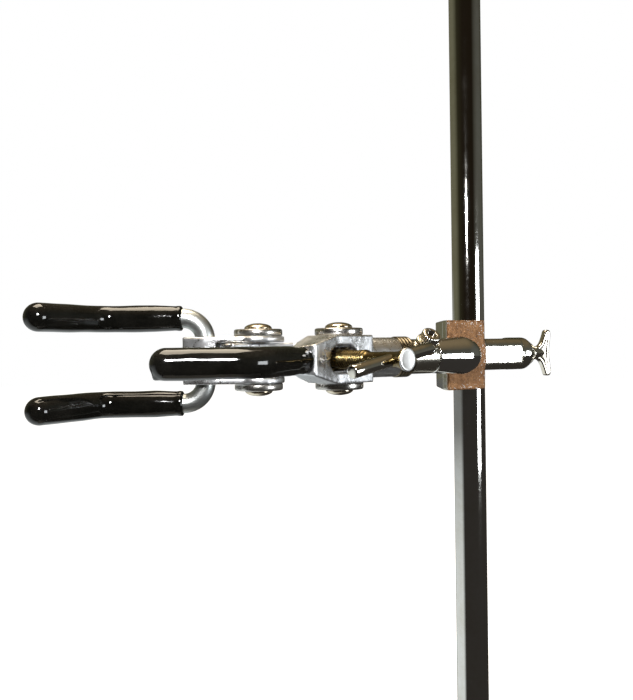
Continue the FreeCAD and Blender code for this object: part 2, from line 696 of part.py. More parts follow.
def make_pins(side):
    """One pin with its two round heads, and the two thick discs between the heads and the jaw."""
    jaw_skin = size("flange_outer") + size("running_gap")
    top = jaw_skin + size("disc_thickness")
    shank = Part.makeCylinder(size("pin_diameter") / 2, 2 * top, V(0, 0, -top))
    heads = []
    for sign in (1, -1):
        ball = Part.makeSphere(1.0)
        stretch = FreeCAD.Matrix()
        stretch.scale(size("dome_diameter") / 2, size("dome_diameter") / 2, size("dome_height"))
        ball = ball.transformGeometry(stretch)
        ball.translate(V(0, 0, sign * top))
        slab = Part.makeBox(20, 20, 10, V(-10, -10, top if sign > 0 else -top - 10))
        heads.append(ball.common(slab))
    feature(side + "_pin_solid", shank.fuse(heads), side)
    keep(doc.getObject(side + "_pin_solid"), side + "_jaw_pin")
    discs = []
    for sign in (1, -1):
        low = jaw_skin if sign > 0 else -top
        disc = Part.makeCylinder(size("disc_diameter") / 2, size("disc_thickness"), V(0, 0, low))
        rim = [e for e in disc.Edges if e.Length > size("disc_diameter") and abs(abs(e.BoundBox.ZMax) - top) < 0.01]
        disc = disc.makeFillet(size("disc_edge"), rim)
        discs.append(disc.cut(Part.makeCylinder(size("pin_diameter") / 2, 40, V(0, 0, -20))))
    feature(side + "_discs", Part.makeCompound(discs), side)
    keep(doc.getObject(side + "_discs"), side + "_pin_discs")


# ---- jaws ----

def jaw_outline():
    """Plan of a jaw's flange, from the web's heel round to the nose and back to the pin's boss."""
    root, along = prong_points(0)[:2]
    across = V(-along.y, along.x, 0)
    nose = root + along * (size("sleeve_root") - size("nose_gap"))
    half = size("sleeve_root_diameter") / 2 + size("nose_margin")
    outer = nose + across * half
    inner = nose - across * half
    back = size("heel_inset") - size("flange_radius")
    heel = size("heel_chamfer")
    return [(back, 0), (back, size("web_outer") - heel), (back + heel, size("web_outer")),
            (outer.x - size("nose_rise"), size("web_outer")), (outer.x, outer.y), (inner.x, inner.y),
            (inner.x - size("throat_length"), inner.y - size("throat_drop")),
            (size("flange_radius") * size("waist_forward"), -size("flange_radius") * size("waist_inward"))]


def jaw_shell():
    """The channel: two flanges joined by the web and a solid nose, open towards the tongue."""
    outer_z = size("flange_outer")
    points = [V(u, v, -outer_z) for u, v in jaw_outline()]
    face = Part.Face(Part.makePolygon(points + [points[0]]))
    solid = face.extrude(V(0, 0, 2 * outer_z))
    eye = Part.makeCylinder(size("flange_radius"), 2 * outer_z, V(0, 0, -outer_z))
    solid = solid.fuse(eye).removeSplitter()
    inner_z = size("flange_inner")
    cavity = Part.makeBox(size("cavity_end") + 30, size("web_inner") + 30, 2 * inner_z, V(-30, -30, -inner_z))
    solid = solid.cut(cavity)
    eye_hole = Part.makeCylinder(size("pin_diameter") / 2 + size("running_gap"), 2 * outer_z + 2,
                                 V(0, 0, -outer_z - 1))
    solid = solid.cut(eye_hole)
    radius = size("slot_height") / 2
    run = (size("slot_length") - size("slot_height")) / 2
    slot = Part.makeBox(2 * run, 20, 2 * radius, V(size("screw_lever") - run, 0, -radius))
    for sign in (-1, 1):
        end = Part.makeCylinder(radius, 20, V(size("screw_lever") + sign * run, 0, 0), Y_AXIS)
        slot = slot.fuse(end)
    return solid.cut(slot)


def nose_wedges():
    """The two wedges that taper the single-prong jaw down to its prong."""
    start = size("nose_taper_start")
    root, along = prong_points(0)[:2]
    end = (root + along * size("sleeve_root")).x
    low = size("nose_tip_height") / 2
    high = size("flange_outer")
    wedges = []
    for sign in (1, -1):
        slope = (high - low) / (end - start)
        points = [V(start, -30, sign * high), V(end + 6, -30, sign * (low - slope * 6)),
                  V(end + 6, -30, sign * (high + 5)), V(start, -30, sign * (high + 5))]
        wedges.append(Part.Face(Part.makePolygon(points + [points[0]])).extrude(V(0, 60, 0)))
    return wedges


def make_front_jaw():
    root, along, kink, tip = prong_points(0)
    shell = jaw_shell()
    for wedge in nose_wedges():
        shell = shell.cut(wedge)
    rod_start = root + along * (size("cavity_end") - size("prong_start_u") + 1.5)
    path = rounded_path([rod_start, kink, tip], [size("kink_radius")])
    prong = tube_along(path, size("prong_diameter"))
    place_u = size("rivet_place")
    outline = jaw_outline()
    rise_start, nose = outline[3], outline[4]
    skin = rise_start[1] + (nose[1] - rise_start[1]) * (place_u - rise_start[0]) / (nose[0] - rise_start[0])
    depth = size("rivet_depth")
    shank = Part.makeCylinder(size("rivet_diameter") / 2, depth, V(place_u, skin - depth, 0), Y_AXIS)
    stretch = FreeCAD.Matrix()
    stretch.scale(size("rivet_head_diameter") / 2, size("rivet_head_height"), size("rivet_head_diameter") / 2)
    head = Part.makeSphere(1.0).transformGeometry(stretch)
    head.translate(V(place_u, skin, 0))
    rivet = shank.fuse(head)
    keep(feature("front_shell", shell.cut([prong, rivet]), "front"), "front_jaw")
    keep(feature("front_rod", prong.cut(rivet), "front"), "front_prong")
    keep(feature("front_rivet_solid", rivet, "front"), "front_rivet")
    keep(feature("front_skin", sleeve_shape(0), "front"), "front_sleeve")


def make_back_jaw():
    """The double prong is one bent bar, held through the jaw's nose."""
    spread = size("fork_spacing") / 2
    root, along = prong_points(0)[:2]
    base = root + along * size("fork_base")
    upper = prong_points(spread)
    lower = prong_points(-spread)
    corner_up = base + V(0, 0, spread)
    corner_low = base - V(0, 0, spread)
    path = rounded_path([upper[3], upper[2], corner_up, corner_low, lower[2], lower[3]],
                        [size("kink_radius"), size("fork_radius"), size("fork_radius"), size("kink_radius")])
    fork = tube_along(path, size("prong_diameter"))
    keep(feature("back_shell", jaw_shell().cut(fork), "back"), "back_jaw")
    keep(feature("back_bar", fork, "back"), "back_fork")
    keep(feature("back_skin_up", sleeve_shape(-spread), "back"), "back_sleeve_upper")
    keep(feature("back_skin_low", sleeve_shape(spread), "back"), "back_sleeve_lower")


def make_tee(side):
    """The jaw's screw, its sliding cross-bar, and the trunnion nut that turns in the tongue."""
    lever = size("screw_lever")
    start = V(lever, -size("tee_inner"), 0)
    core = Part.makeCylinder(size("tee_core_diameter") / 2, size("tee_inner") + size("tee_core_end") + 0.5,
                             start, Y_AXIS)
    thread = Part.makeCylinder(size("tee_diameter") / 2, size("tee_thread_end") - size("tee_core_end"),
                               V(lever, size("tee_core_end"), 0), Y_AXIS)
    flare_start = size("tee_length") - size("tee_flare_length")
    neck = Part.makeCylinder(size("tee_neck_diameter") / 2, flare_start - size("tee_thread_end"),
                             V(lever, size("tee_thread_end"), 0), Y_AXIS)
    flare = Part.makeCone(size("tee_neck_diameter") / 2, size("tee_flare_diameter") / 2,
                          size("tee_flare_length"), V(lever, flare_start, 0), Y_AXIS)
    tilt = math.radians(size("bar_angle"))
    heading = V(math.cos(tilt), 0, -math.sin(tilt))
    bar_start = V(lever, size("bar_place"), 0) - heading * (size("bar_length") / 2 + size(side + "_bar_slide"))
    bar = Part.makeCylinder(size("bar_diameter") / 2, size("bar_length"), bar_start, heading)
    screw = core.fuse([thread, neck, flare]).removeSplitter().cut(bar)
    bar = bar.makeChamfer(size("bar_chamfer"), [e for e in bar.Edges if e.Closed])
    keep(feature(side + "_tee_solid", screw, side), side + "_tee_screw")
    keep(feature(side + "_bar_solid", bar, side), side + "_tee_bar")
    height = size("tongue_height")
    nut = Part.makeCylinder(size("trunnion_diameter") / 2, height, V(lever, 0, -height / 2))
    nut = nut.cut(Part.makeCylinder(size("tee_diameter") / 2 + size("thread_clearance"), 20, V(lever, -10, 0), Y_AXIS))
    keep(feature(side + "_nut_solid", nut, side), side + "_trunnion")


make_base()
make_feet()
make_rod()
make_holder()
make_thumbscrew()
make_socket()
make_arm()
make_head()
for jaw_side in ("front", "back"):
    make_pins(jaw_side)
    make_tee(jaw_side)
make_front_jaw()
make_back_jaw()
doc.recompute()

failed = [obj.Label for obj in doc.Objects if "Invalid" in obj.State or "Error" in obj.State]
if failed:
    raise SystemExit("these objects failed: " + ", ".join(failed))
for node in NODES:
    if node.Shape.isNull() or not node.Shape.isValid() or not node.Shape.Solids:
        raise SystemExit("the shape is not a valid solid: " + node.Label)

os.makedirs("parts", exist_ok=True)
for node in NODES:
    node.Shape.exportStep("parts/%s.step" % node.Label)
    print("%-20s solids %d volume %.1f" % (node.Label, len(node.Shape.Solids), node.Shape.Volume))
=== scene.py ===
import json
import math
import bpy
import bmesh
from mathutils import Matrix, Vector
from mathutils.noise import noise as signed_noise


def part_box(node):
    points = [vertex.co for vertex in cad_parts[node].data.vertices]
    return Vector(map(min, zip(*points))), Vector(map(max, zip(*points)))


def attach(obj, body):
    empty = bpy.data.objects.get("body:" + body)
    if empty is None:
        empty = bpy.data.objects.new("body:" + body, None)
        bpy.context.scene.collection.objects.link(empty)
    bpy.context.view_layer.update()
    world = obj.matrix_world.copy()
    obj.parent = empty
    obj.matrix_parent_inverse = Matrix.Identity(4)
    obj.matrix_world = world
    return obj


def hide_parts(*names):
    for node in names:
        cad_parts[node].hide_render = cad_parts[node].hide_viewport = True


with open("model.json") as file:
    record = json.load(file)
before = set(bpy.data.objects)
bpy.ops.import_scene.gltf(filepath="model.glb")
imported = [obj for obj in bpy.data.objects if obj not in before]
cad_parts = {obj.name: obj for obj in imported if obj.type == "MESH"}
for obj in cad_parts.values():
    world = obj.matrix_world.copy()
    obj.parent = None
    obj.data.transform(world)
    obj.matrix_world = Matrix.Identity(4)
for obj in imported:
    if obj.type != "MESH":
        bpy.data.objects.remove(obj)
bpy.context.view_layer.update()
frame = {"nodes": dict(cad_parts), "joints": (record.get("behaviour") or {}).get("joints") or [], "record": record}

MM = 0.001
JOINTS = {joint["name"]: joint for joint in frame["joints"]}
BODIES = frame["record"]["behaviour"]["bodies"]
UP = Vector((0, 0, 1))


def noise_at(place):
    """Smooth noise from 0 to 1."""
    return 0.5 + 0.5 * signed_noise(place)


# ---------------------------------------------------------------- places

def corners(node):
    low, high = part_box(node)
    return Vector(low), Vector(high)


def middle(node):
    low, high = corners(node)
    return (low + high) / 2


ROD = middle("upright_rod")
CLAMP_Z = middle("clamp_head").z
ARM_Y = middle("arm_ring").y


class JawFrame:
    """A jaw's own directions: forward along its web from the pin, and outward through its screw."""

    def __init__(self, side):
        self.pin = Vector(JOINTS[side + "_jaw_pivot"]["pos_m"])
        self.screw = Vector(JOINTS[side + "_screw_turn"]["pos_m"])
        self.outward = Vector(JOINTS[side + "_screw_turn"]["axis"]).normalized()
        self.forward = (self.screw - self.pin).normalized()

    def at(self, forward, outward, up=0.0):
        """A point in row metres from millimetres in the jaw's frame."""
        return self.pin + (self.forward * forward + self.outward * outward + UP * up) * MM


FRONT = JawFrame("front")
BACK = JawFrame("back")


# ---------------------------------------------------------------- shared node groups

def new_group(name, inputs, outputs):
    """A shader group whose sockets are numbers, apart from Along and Normal, which are vectors."""
    def kind(label):
        return "NodeSocketVector" if label in ("Along", "Normal") else "NodeSocketFloat"

    tree = bpy.data.node_groups.new(name, "ShaderNodeTree")
    for label, value in inputs.items():
        socket = tree.interface.new_socket(label, in_out="INPUT", socket_type=kind(label))
        socket.default_value = value
    for label in outputs:
        tree.interface.new_socket(label, in_out="OUTPUT", socket_type=kind(label))
    return tree, tree.nodes.new("NodeGroupInput"), tree.nodes.new("NodeGroupOutput")


def ended(tree, outlet, **results):
    for label, source in results.items():
        tree.links.new(source, outlet.inputs[label])
    return tree


def node(tree, kind, **settings):
    made = tree.nodes.new(kind)
    for key, value in settings.items():
        setattr(made, key, value)
    return made


def feed(tree, value, socket):
    """Set a socket to a number or a colour, or link another node's output to it."""
    if isinstance(value, (int, float)):
        socket.default_value = value
    elif isinstance(value, tuple):
        socket.default_value = (*value, 1.0)
    else:
        tree.links.new(value, socket)


def math_node(tree, operation, first, second=None):
    made = node(tree, "ShaderNodeMath", operation=operation)
    feed(tree, first, made.inputs[0])
    if second is not None:
        feed(tree, second, made.inputs[1])
    return made.outputs[0]


def times(tree, first, second):
    return math_node(tree, "MULTIPLY", first, second)


def plus(tree, first, second):
    return math_node(tree, "ADD", first, second)


def noise(tree, vector, scale, detail=4.0, rough=0.55):
    made = node(tree, "ShaderNodeTexNoise")
    for label, value in (("Vector", vector), ("Scale", scale), ("Detail", detail), ("Roughness", rough)):
        feed(tree, value, made.inputs[label])
    return made.outputs["Fac"]


def ramp_between(tree, value, low, high, out_low=0.0, out_high=1.0):
    made = node(tree, "ShaderNodeMapRange")
    labels = ("Value", "From Min", "From Max", "To Min", "To Max")
    for label, setting in zip(labels, (value, low, high, out_low, out_high)):
        feed(tree, setting, made.inputs[label])
    return made.outputs["Result"]


def colour_mix(tree, factor, first, second):
    made = node(tree, "ShaderNodeMix", data_type="RGBA")
    for label, value in (("Factor", factor), (6, first), (7, second)):
        feed(tree, value, made.inputs[label])
    return made.outputs[2]


def shader_mix(tree, factor, first, second):
    made = node(tree, "ShaderNodeMixShader")
    for source, socket in zip((factor, first, second), made.inputs):
        tree.links.new(source, socket)
    return made.outputs[0]


def dot_with(tree, place, direction):
    made = node(tree, "ShaderNodeVectorMath", operation="DOT_PRODUCT")
    tree.links.new(place, made.inputs[0])
    made.inputs[1].default_value = Vector(direction).normalized()
    return made.outputs["Value"]


def object_place(tree):
    return node(tree, "ShaderNodeTexCoord").outputs["Object"]


def smudge_group():
    """Handling marks: a roughness that drifts between two values."""
    tree, inlet, outlet = new_group(
        "handling_smudges", {"Scale": 60.0, "Clean": 0.05, "Smeared": 0.2}, ("Roughness", "Mask"))
    place = object_place(tree)
    broad = noise(tree, place, inlet.outputs["Scale"], 5.0, 0.6)
    fine_scale = times(tree, inlet.outputs["Scale"], 9.0)
    fine = noise(tree, place, fine_scale, 3.0, 0.6)
    mixed = plus(tree, times(tree, broad, 0.7), times(tree, fine, 0.3))
    mask = ramp_between(tree, mixed, 0.42, 0.62)
    spread = math_node(tree, "SUBTRACT", inlet.outputs["Smeared"], inlet.outputs["Clean"])
    rough = plus(tree, inlet.outputs["Clean"], times(tree, mask, spread))
    return ended(tree, outlet, Roughness=rough, Mask=mask)


def scratch_group():
    """Fine lines left by polishing and use: a height that is stretched along one axis."""
    tree, inlet, outlet = new_group(
        "polish_lines", {"Along": (400.0, 400.0, 20.0), "Density": 0.5}, ("Height", "Mask"))
    place = object_place(tree)
    stretch = node(tree, "ShaderNodeVectorMath", operation="MULTIPLY")
    tree.links.new(place, stretch.inputs[0])
    tree.links.new(inlet.outputs["Along"], stretch.inputs[1])
    lines = noise(tree, stretch.outputs[0], 6.0, 6.0, 0.7)
    mask = ramp_between(tree, lines, inlet.outputs["Density"], 1.0)
    return ended(tree, outlet, Height=lines, Mask=mask)


def grain_group():
    """Cast or tumbled surface: rounded dimples over fine grit."""
    tree, inlet, outlet = new_group("cast_grain", {"Scale": 900.0, "Grit": 0.4}, ("Height", "Pits"))
    place = object_place(tree)
    dimples = node(tree, "ShaderNodeTexVoronoi", feature="SMOOTH_F1")
    tree.links.new(place, dimples.inputs["Vector"])
    tree.links.new(inlet.outputs["Scale"], dimples.inputs["Scale"])
    grit_scale = times(tree, inlet.outputs["Scale"], 3.1)
    grit = noise(tree, place, grit_scale, 5.0, 0.65)
    height = plus(tree, dimples.outputs["Distance"], times(tree, grit, inlet.outputs["Grit"]))
    pits = ramp_between(tree, grit, 0.58, 0.72)
    return ended(tree, outlet, Height=height, Pits=pits)


def edge_group():
    """Softened edges: where a rounded normal leaves the true one, the edge has been rubbed."""
    tree, inlet, outlet = new_group("rubbed_edges", {"Radius": 0.0004}, ("Normal", "Mask"))
    soft = node(tree, "ShaderNodeBevel", samples=6)
    tree.links.new(inlet.outputs["Radius"], soft.inputs["Radius"])
    true = node(tree, "ShaderNodeNewGeometry").outputs["Normal"]
    alike = node(tree, "ShaderNodeVectorMath", operation="DOT_PRODUCT")
    tree.links.new(soft.outputs["Normal"], alike.inputs[0])
    tree.links.new(true, alike.inputs[1])
    mask = ramp_between(tree, alike.outputs["Value"], 0.995, 0.90)
    return ended(tree, outlet, Normal=soft.outputs["Normal"], Mask=mask)


def dust_group():
    """Dust that settles on what faces upward."""
    tree, inlet, outlet = new_group("settled_dust", {"Amount": 0.3}, ("Mask",))
    geometry = node(tree, "ShaderNodeNewGeometry")
    parts = node(tree, "ShaderNodeSeparateXYZ")
    tree.links.new(geometry.outputs["Normal"], parts.inputs[0])
    upward = ramp_between(tree, parts.outputs["Z"], 0.35, 1.0)
    place = object_place(tree)
    specks = ramp_between(tree, noise(tree, place, 1400.0, 4.0, 0.7), 0.52, 0.75)
    drift = noise(tree, place, 45.0, 3.0, 0.6)
    mask = times(tree, times(tree, upward, specks), times(tree, drift, inlet.outputs["Amount"]))
    return ended(tree, outlet, Mask=mask)


SMUDGES = smudge_group()
POLISH = scratch_group()
GRAIN = grain_group()
EDGES = edge_group()
DUST = dust_group()


# ---------------------------------------------------------------- materials

class Finish:
    """One material: a Principled shader with helpers for placing the shared groups."""

    def __init__(self, name):
        self.material = bpy.data.materials.new(name)
        self.material.use_nodes = True
        self.tree = self.material.node_tree
        self.shader = self.tree.nodes["Principled BSDF"]

    def place_group(self, group, **settings):
        made = self.tree.nodes.new("ShaderNodeGroup")
        made.node_tree = group
        for key, value in settings.items():
            made.inputs[key].default_value = value
        return made

    def link(self, source, socket):
        self.tree.links.new(source, self.shader.inputs[socket])

    def finished(self, colour, roughness, normal, **constants):
        """Link the three main channels, set the shader's constants and hand over the material."""
        for source, socket in ((colour, "Base Color"), (roughness, "Roughness"), (normal, "Normal")):
            self.link(source, socket)
        for key, value in constants.items():
            self.shader.inputs[key.replace("_", " ")].default_value = value
        return self.material

    def mix(self, factor, first, second):
        return colour_mix(self.tree, factor, first, second)

    def bump(self, height, distance, strength=1.0, normal=None):
        made = node(self.tree, "ShaderNodeBump")
        made.inputs["Distance"].default_value = distance
        made.inputs["Strength"].default_value = strength
        self.tree.links.new(height, made.inputs["Height"])
        if normal is not None:
            self.tree.links.new(normal, made.inputs["Normal"])
        return made.outputs["Normal"]


def plated(name, colour, tint, clean, smeared, grain_scale=None, grain_depth=0.0, along=(60.0, 60.0, 6.0),
           line_depth=0.000002, edge=0.0003, smudge_scale=55.0):
    """Bright plate over metal: handling marks, polishing lines and, on castings, an uneven skin."""
    finish = Finish(name)
    marks = finish.place_group(SMUDGES, Scale=smudge_scale, Clean=clean, Smeared=smeared)
    lines = finish.place_group(POLISH, Along=along, Density=0.55)
    edges = finish.place_group(EDGES, Radius=edge)
    worn = finish.mix(edges.outputs["Mask"], colour, tuple(min(1.0, c * 1.15 + 0.05) for c in colour))
    stained = finish.mix(times(finish.tree, marks.outputs["Mask"], 0.6), worn, tint)
    normal = finish.bump(lines.outputs["Height"], line_depth, 0.6, edges.outputs["Normal"])
    if grain_scale:
        grain = finish.place_group(GRAIN, Scale=grain_scale, Grit=0.3)
        normal = finish.bump(grain.outputs["Height"], grain_depth, 1.0, normal)
    return finish.finished(stained, marks.outputs["Roughness"], normal, Metallic=1.0)


# where the plate's right edge lies, from the rod's axis, in metres
PLATE_REACH = -0.0001


def holder_finish():
    """Plated casting whose front face is rough and brown, with flecks of plate at its rim."""
    finish = Finish("brown_faced_holder")
    tree = finish.tree
    front = corners("rod_holder")[0].y
    place = object_place(tree)
    parts = node(tree, "ShaderNodeSeparateXYZ")
    tree.links.new(place, parts.inputs[0])
    ragged = noise(tree, place, 620.0, 5.0, 0.7)
    depth = plus(tree, parts.outputs["Y"], times(tree, ragged, 0.0016))
    edge = ROD.x + PLATE_REACH
    on_plate = ramp_between(tree, plus(tree, parts.outputs["X"], times(tree, ragged, 0.0008)),
                            edge + 0.0003, edge - 0.0001)
    face = times(tree, ramp_between(tree, depth, front + 0.0022, front + 0.0014), on_plate)
    flecks = ramp_between(tree, noise(tree, place, 1500.0, 4.0, 0.6), 0.60, 0.66)
    rim_side = ramp_between(tree, parts.outputs["X"], ROD.x - 0.0048, ROD.x - 0.0018)
    above = math_node(tree, "SUBTRACT", parts.outputs["Z"], CLAMP_Z)
    rim_top = ramp_between(tree, math_node(tree, "ABSOLUTE", above), 0.0105, 0.0135)
    rim = math_node(tree, "MAXIMUM", rim_side, rim_top)
    bright = times(tree, flecks, plus(tree, times(tree, rim, 0.9), 0.08))
    mottle = noise(tree, place, 380.0, 6.0, 0.7)
    dark_spots = ramp_between(tree, noise(tree, place, 900.0, 4.0, 0.6), 0.60, 0.70)
    brown_face = finish.mix(ramp_between(tree, mottle, 0.35, 0.65), (0.16, 0.075, 0.030), (0.29, 0.150, 0.066))
    brown_face = finish.mix(times(tree, dark_spots, 0.8), brown_face, (0.055, 0.030, 0.018))
    brown_face = finish.mix(bright, brown_face, (0.92, 0.92, 0.92))
    marks = finish.place_group(SMUDGES, Scale=70.0, Clean=0.08, Smeared=0.22)
    plate = finish.mix(marks.outputs["Mask"], (0.80, 0.79, 0.74), (0.66, 0.62, 0.52))
    rough = node(tree, "ShaderNodeMix", data_type="FLOAT")
    tree.links.new(face, rough.inputs["Factor"])
    tree.links.new(marks.outputs["Roughness"], rough.inputs[2])
    rough.inputs[3].default_value = 0.56
    finish.link(math_node(tree, "SUBTRACT", 1.0, times(tree, face, 0.35)), "Metallic")
    edges = finish.place_group(EDGES, Radius=0.0006)
    grain = finish.place_group(GRAIN, Scale=1100.0, Grit=0.9)
    skin = finish.bump(times(tree, grain.outputs["Height"], face), 0.00016, 1.0, edges.outputs["Normal"])
    orange = finish.place_group(GRAIN, Scale=420.0, Grit=0.1)
    skin = finish.bump(orange.outputs["Height"], 0.00003, 0.7, skin)
    return finish.finished(finish.mix(face, plate, brown_face), rough.outputs[0], skin)


def alloy_finish():
    """Tumbled light alloy: bright, softly dimpled, with grey in its pores."""
    finish = Finish("tumbled_alloy")
    tree = finish.tree
    marks = finish.place_group(SMUDGES, Scale=90.0, Clean=0.26, Smeared=0.42)
    grain = finish.place_group(GRAIN, Scale=650.0, Grit=0.55)
    lines = finish.place_group(POLISH, Along=(30.0, 30.0, 180.0), Density=0.6)
    edges = finish.place_group(EDGES, Radius=0.0005)
    pores = times(tree, grain.outputs["Pits"], 0.45)
    tone = finish.mix(marks.outputs["Mask"], (0.88, 0.89, 0.91), (0.80, 0.81, 0.83))
    tone = finish.mix(pores, tone, (0.52, 0.52, 0.53))
    tone = finish.mix(edges.outputs["Mask"], tone, (0.97, 0.97, 0.97))
    normal = finish.bump(lines.outputs["Height"], 0.000006, 0.6, edges.outputs["Normal"])
    normal = finish.bump(grain.outputs["Height"], 0.00006, 0.8, normal)
    return finish.finished(tone, marks.outputs["Roughness"], normal, Metallic=1.0)


def vinyl_finish():
    """Dipped vinyl: black and glossy with slow ripples, faint scuffs and a little dust."""
    finish = Finish("dipped_vinyl")
    tree = finish.tree
    place = object_place(tree)
    marks = finish.place_group(SMUDGES, Scale=110.0, Clean=0.055, Smeared=0.12)
    dust = finish.place_group(DUST, Amount=0.15)
    scuff = finish.place_group(POLISH, Along=(40.0, 200.0, 200.0), Density=0.62)
    tone = finish.mix(marks.outputs["Mask"], (0.0022, 0.0022, 0.0018), (0.0050, 0.0048, 0.0040))
    tone = finish.mix(times(tree, scuff.outputs["Mask"], 0.25), tone, (0.022, 0.021, 0.019))
    tone = finish.mix(dust.outputs["Mask"], tone, (0.30, 0.29, 0.27))
    normal = finish.bump(noise(tree, place, 170.0, 2.0, 0.4), 0.00022, 0.6)
    normal = finish.bump(scuff.outputs["Height"], 0.000008, 0.5, normal)
    return finish.finished(tone, marks.outputs["Roughness"], normal, IOR=1.5)


def enamel_finish():
    """Hammered stove enamel on the base plate."""
    finish = Finish("hammered_enamel")
    tree = finish.tree
    marks = finish.place_group(SMUDGES, Scale=22.0, Clean=0.26, Smeared=0.42)
    hammer = finish.place_group(GRAIN, Scale=230.0, Grit=0.25)
    edges = finish.place_group(EDGES, Radius=0.0012)
    dust = finish.place_group(DUST, Amount=0.9)
    tone = finish.mix(marks.outputs["Mask"], (0.055, 0.062, 0.070), (0.080, 0.088, 0.098))
    chips = times(tree, edges.outputs["Mask"], ramp_between(
        tree, noise(tree, object_place(tree), 160.0, 5.0, 0.7), 0.52, 0.60))
    tone = finish.mix(chips, tone, (0.32, 0.30, 0.28))
    tone = finish.mix(dust.outputs["Mask"], tone, (0.50, 0.49, 0.47))
    normal = finish.bump(hammer.outputs["Height"], 0.0005, 0.7, edges.outputs["Normal"])
    return finish.finished(tone, marks.outputs["Roughness"], normal,
                           Metallic=0.15, Coat_Weight=0.4, Coat_Roughness=0.15)


def rubber_finish():
    finish = Finish("foot_rubber")
    marks = finish.place_group(SMUDGES, Scale=120.0, Clean=0.62, Smeared=0.82)
    grain = finish.place_group(GRAIN, Scale=1600.0, Grit=0.7)
    dust = finish.place_group(DUST, Amount=0.6)
    tone = finish.mix(marks.outputs["Mask"], (0.018, 0.018, 0.018), (0.04, 0.039, 0.037))
    tone = finish.mix(dust.outputs["Mask"], tone, (0.25, 0.24, 0.22))
    normal = finish.bump(grain.outputs["Height"], 0.00008, 0.6)
    return finish.finished(tone, marks.outputs["Roughness"], normal)


CHROME_ROD = plated("chromed_rod", (0.74, 0.73, 0.71), (0.60, 0.57, 0.50), 0.045, 0.10,
                    along=(5.0, 5.0, 90.0), line_depth=0.0000006, edge=0.0003, smudge_scale=38.0)
CHROME_SOCKET = plated("chromed_casting", (0.84, 0.84, 0.83), (0.74, 0.72, 0.66), 0.05, 0.13,
                       480.0, 0.000018)
NICKEL = plated("nickel_plate", (0.80, 0.77, 0.70), (0.68, 0.60, 0.46), 0.09, 0.20, 700.0, 0.000010)
PIN_NICKEL = plated("nickel_pin_head", (0.78, 0.70, 0.56), (0.62, 0.50, 0.34), 0.14, 0.26, 900.0, 0.00002)
DISC_STEEL = plated("turned_disc", (0.60, 0.58, 0.55), (0.46, 0.44, 0.41), 0.22, 0.34, 800.0, 0.00001)
PLAIN_STEEL = plated("zinc_steel", (0.62, 0.62, 0.62), (0.50, 0.49, 0.46), 0.22, 0.36, 700.0, 0.00001)
ARM_STEEL = plated("satin_arm", (0.80, 0.77, 0.69), (0.66, 0.60, 0.48), 0.13, 0.24,
                   along=(200.0, 12.0, 12.0))
RING_DARK = plated("oiled_ring", (0.20, 0.17, 0.12), (0.10, 0.08, 0.05), 0.20, 0.34, 800.0, 0.00001)
PRONG_STEEL = plated("satin_prong", (0.52, 0.54, 0.53), (0.42, 0.42, 0.39), 0.36, 0.48, 700.0, 0.00002)
BRONZE = plated("bronzed_steel", (0.17, 0.125, 0.05), (0.08, 0.058, 0.024), 0.22, 0.36, 900.0, 0.00001)
BUTTON = plated("faced_steel", (0.93, 0.93, 0.92), (0.86, 0.86, 0.84), 0.34, 0.46, 900.0, 0.00001)
CHROME_BAR = plated("bright_bar", (0.82, 0.80, 0.74), (0.62, 0.52, 0.36), 0.06, 0.15)
BRASS = plated("turned_brass", (0.76, 0.56, 0.26), (0.52, 0.36, 0.16), 0.16, 0.28)
HOLDER = holder_finish()
ALLOY = alloy_finish()
VINYL = vinyl_finish()
ENAMEL = enamel_finish()
RUBBER = rubber_finish()

NODE_FINISH = {
    "base_plate": ENAMEL, "base_feet": RUBBER, "upright_rod": CHROME_ROD, "base_washer": PLAIN_STEEL,
    "base_nut": PLAIN_STEEL, "rod_holder": HOLDER, "pressure_tip": BRASS, "thumbscrew": NICKEL,
    "swivel_socket": CHROME_SOCKET, "swivel_pin": PLAIN_STEEL, "swivel_nut": PLAIN_STEEL,
    "arm_tube": ARM_STEEL, "arm_lock_screw": NICKEL, "arm_ring": RING_DARK, "clamp_head": ALLOY,
    "front_jaw_pin": PIN_NICKEL, "back_jaw_pin": PIN_NICKEL, "front_pin_discs": DISC_STEEL,
    "back_pin_discs": DISC_STEEL, "front_tee_screw": BRONZE, "back_tee_screw": BRONZE,
    "front_tee_bar": CHROME_BAR, "back_tee_bar": CHROME_BAR, "front_trunnion": BRONZE,
    "back_trunnion": BRONZE, "front_jaw": ALLOY, "back_jaw": ALLOY, "front_prong": PRONG_STEEL,
    "back_fork": PRONG_STEEL, "front_rivet": PIN_NICKEL, "front_sleeve": VINYL,
    "back_sleeve_upper": VINYL, "back_sleeve_lower": VINYL,
}


def dress_nodes():
    for name, material in NODE_FINISH.items():
        holder = frame["nodes"][name]
        if not holder.material_slots:
            holder.data.materials.append(material)
        for slot in holder.material_slots:
            slot.material = material


# ---------------------------------------------------------------- mesh helpers

def put_in_scene(name, data):
    made = bpy.data.objects.new(name, data)
    bpy.context.scene.collection.objects.link(made)
    return made


def mesh_from(work, name):
    made = bpy.data.meshes.new(name)
    work.to_mesh(made)
    work.free()
    return made


def scaled(points):
    """A profile in metres from one in millimetres."""
    return [(along * MM, reach * MM) for along, reach in points]


def finish_piece(mesh_data, material, body, replaced=()):
    """Put a finished mesh in the scene under its own name, on its body and in its slot."""
    for polygon in mesh_data.polygons:
        polygon.use_smooth = True
    mesh_data.materials.append(material)
    piece = put_in_scene(mesh_data.name, mesh_data)
    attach(piece, body)
    if replaced:
        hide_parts(*replaced)
    return piece


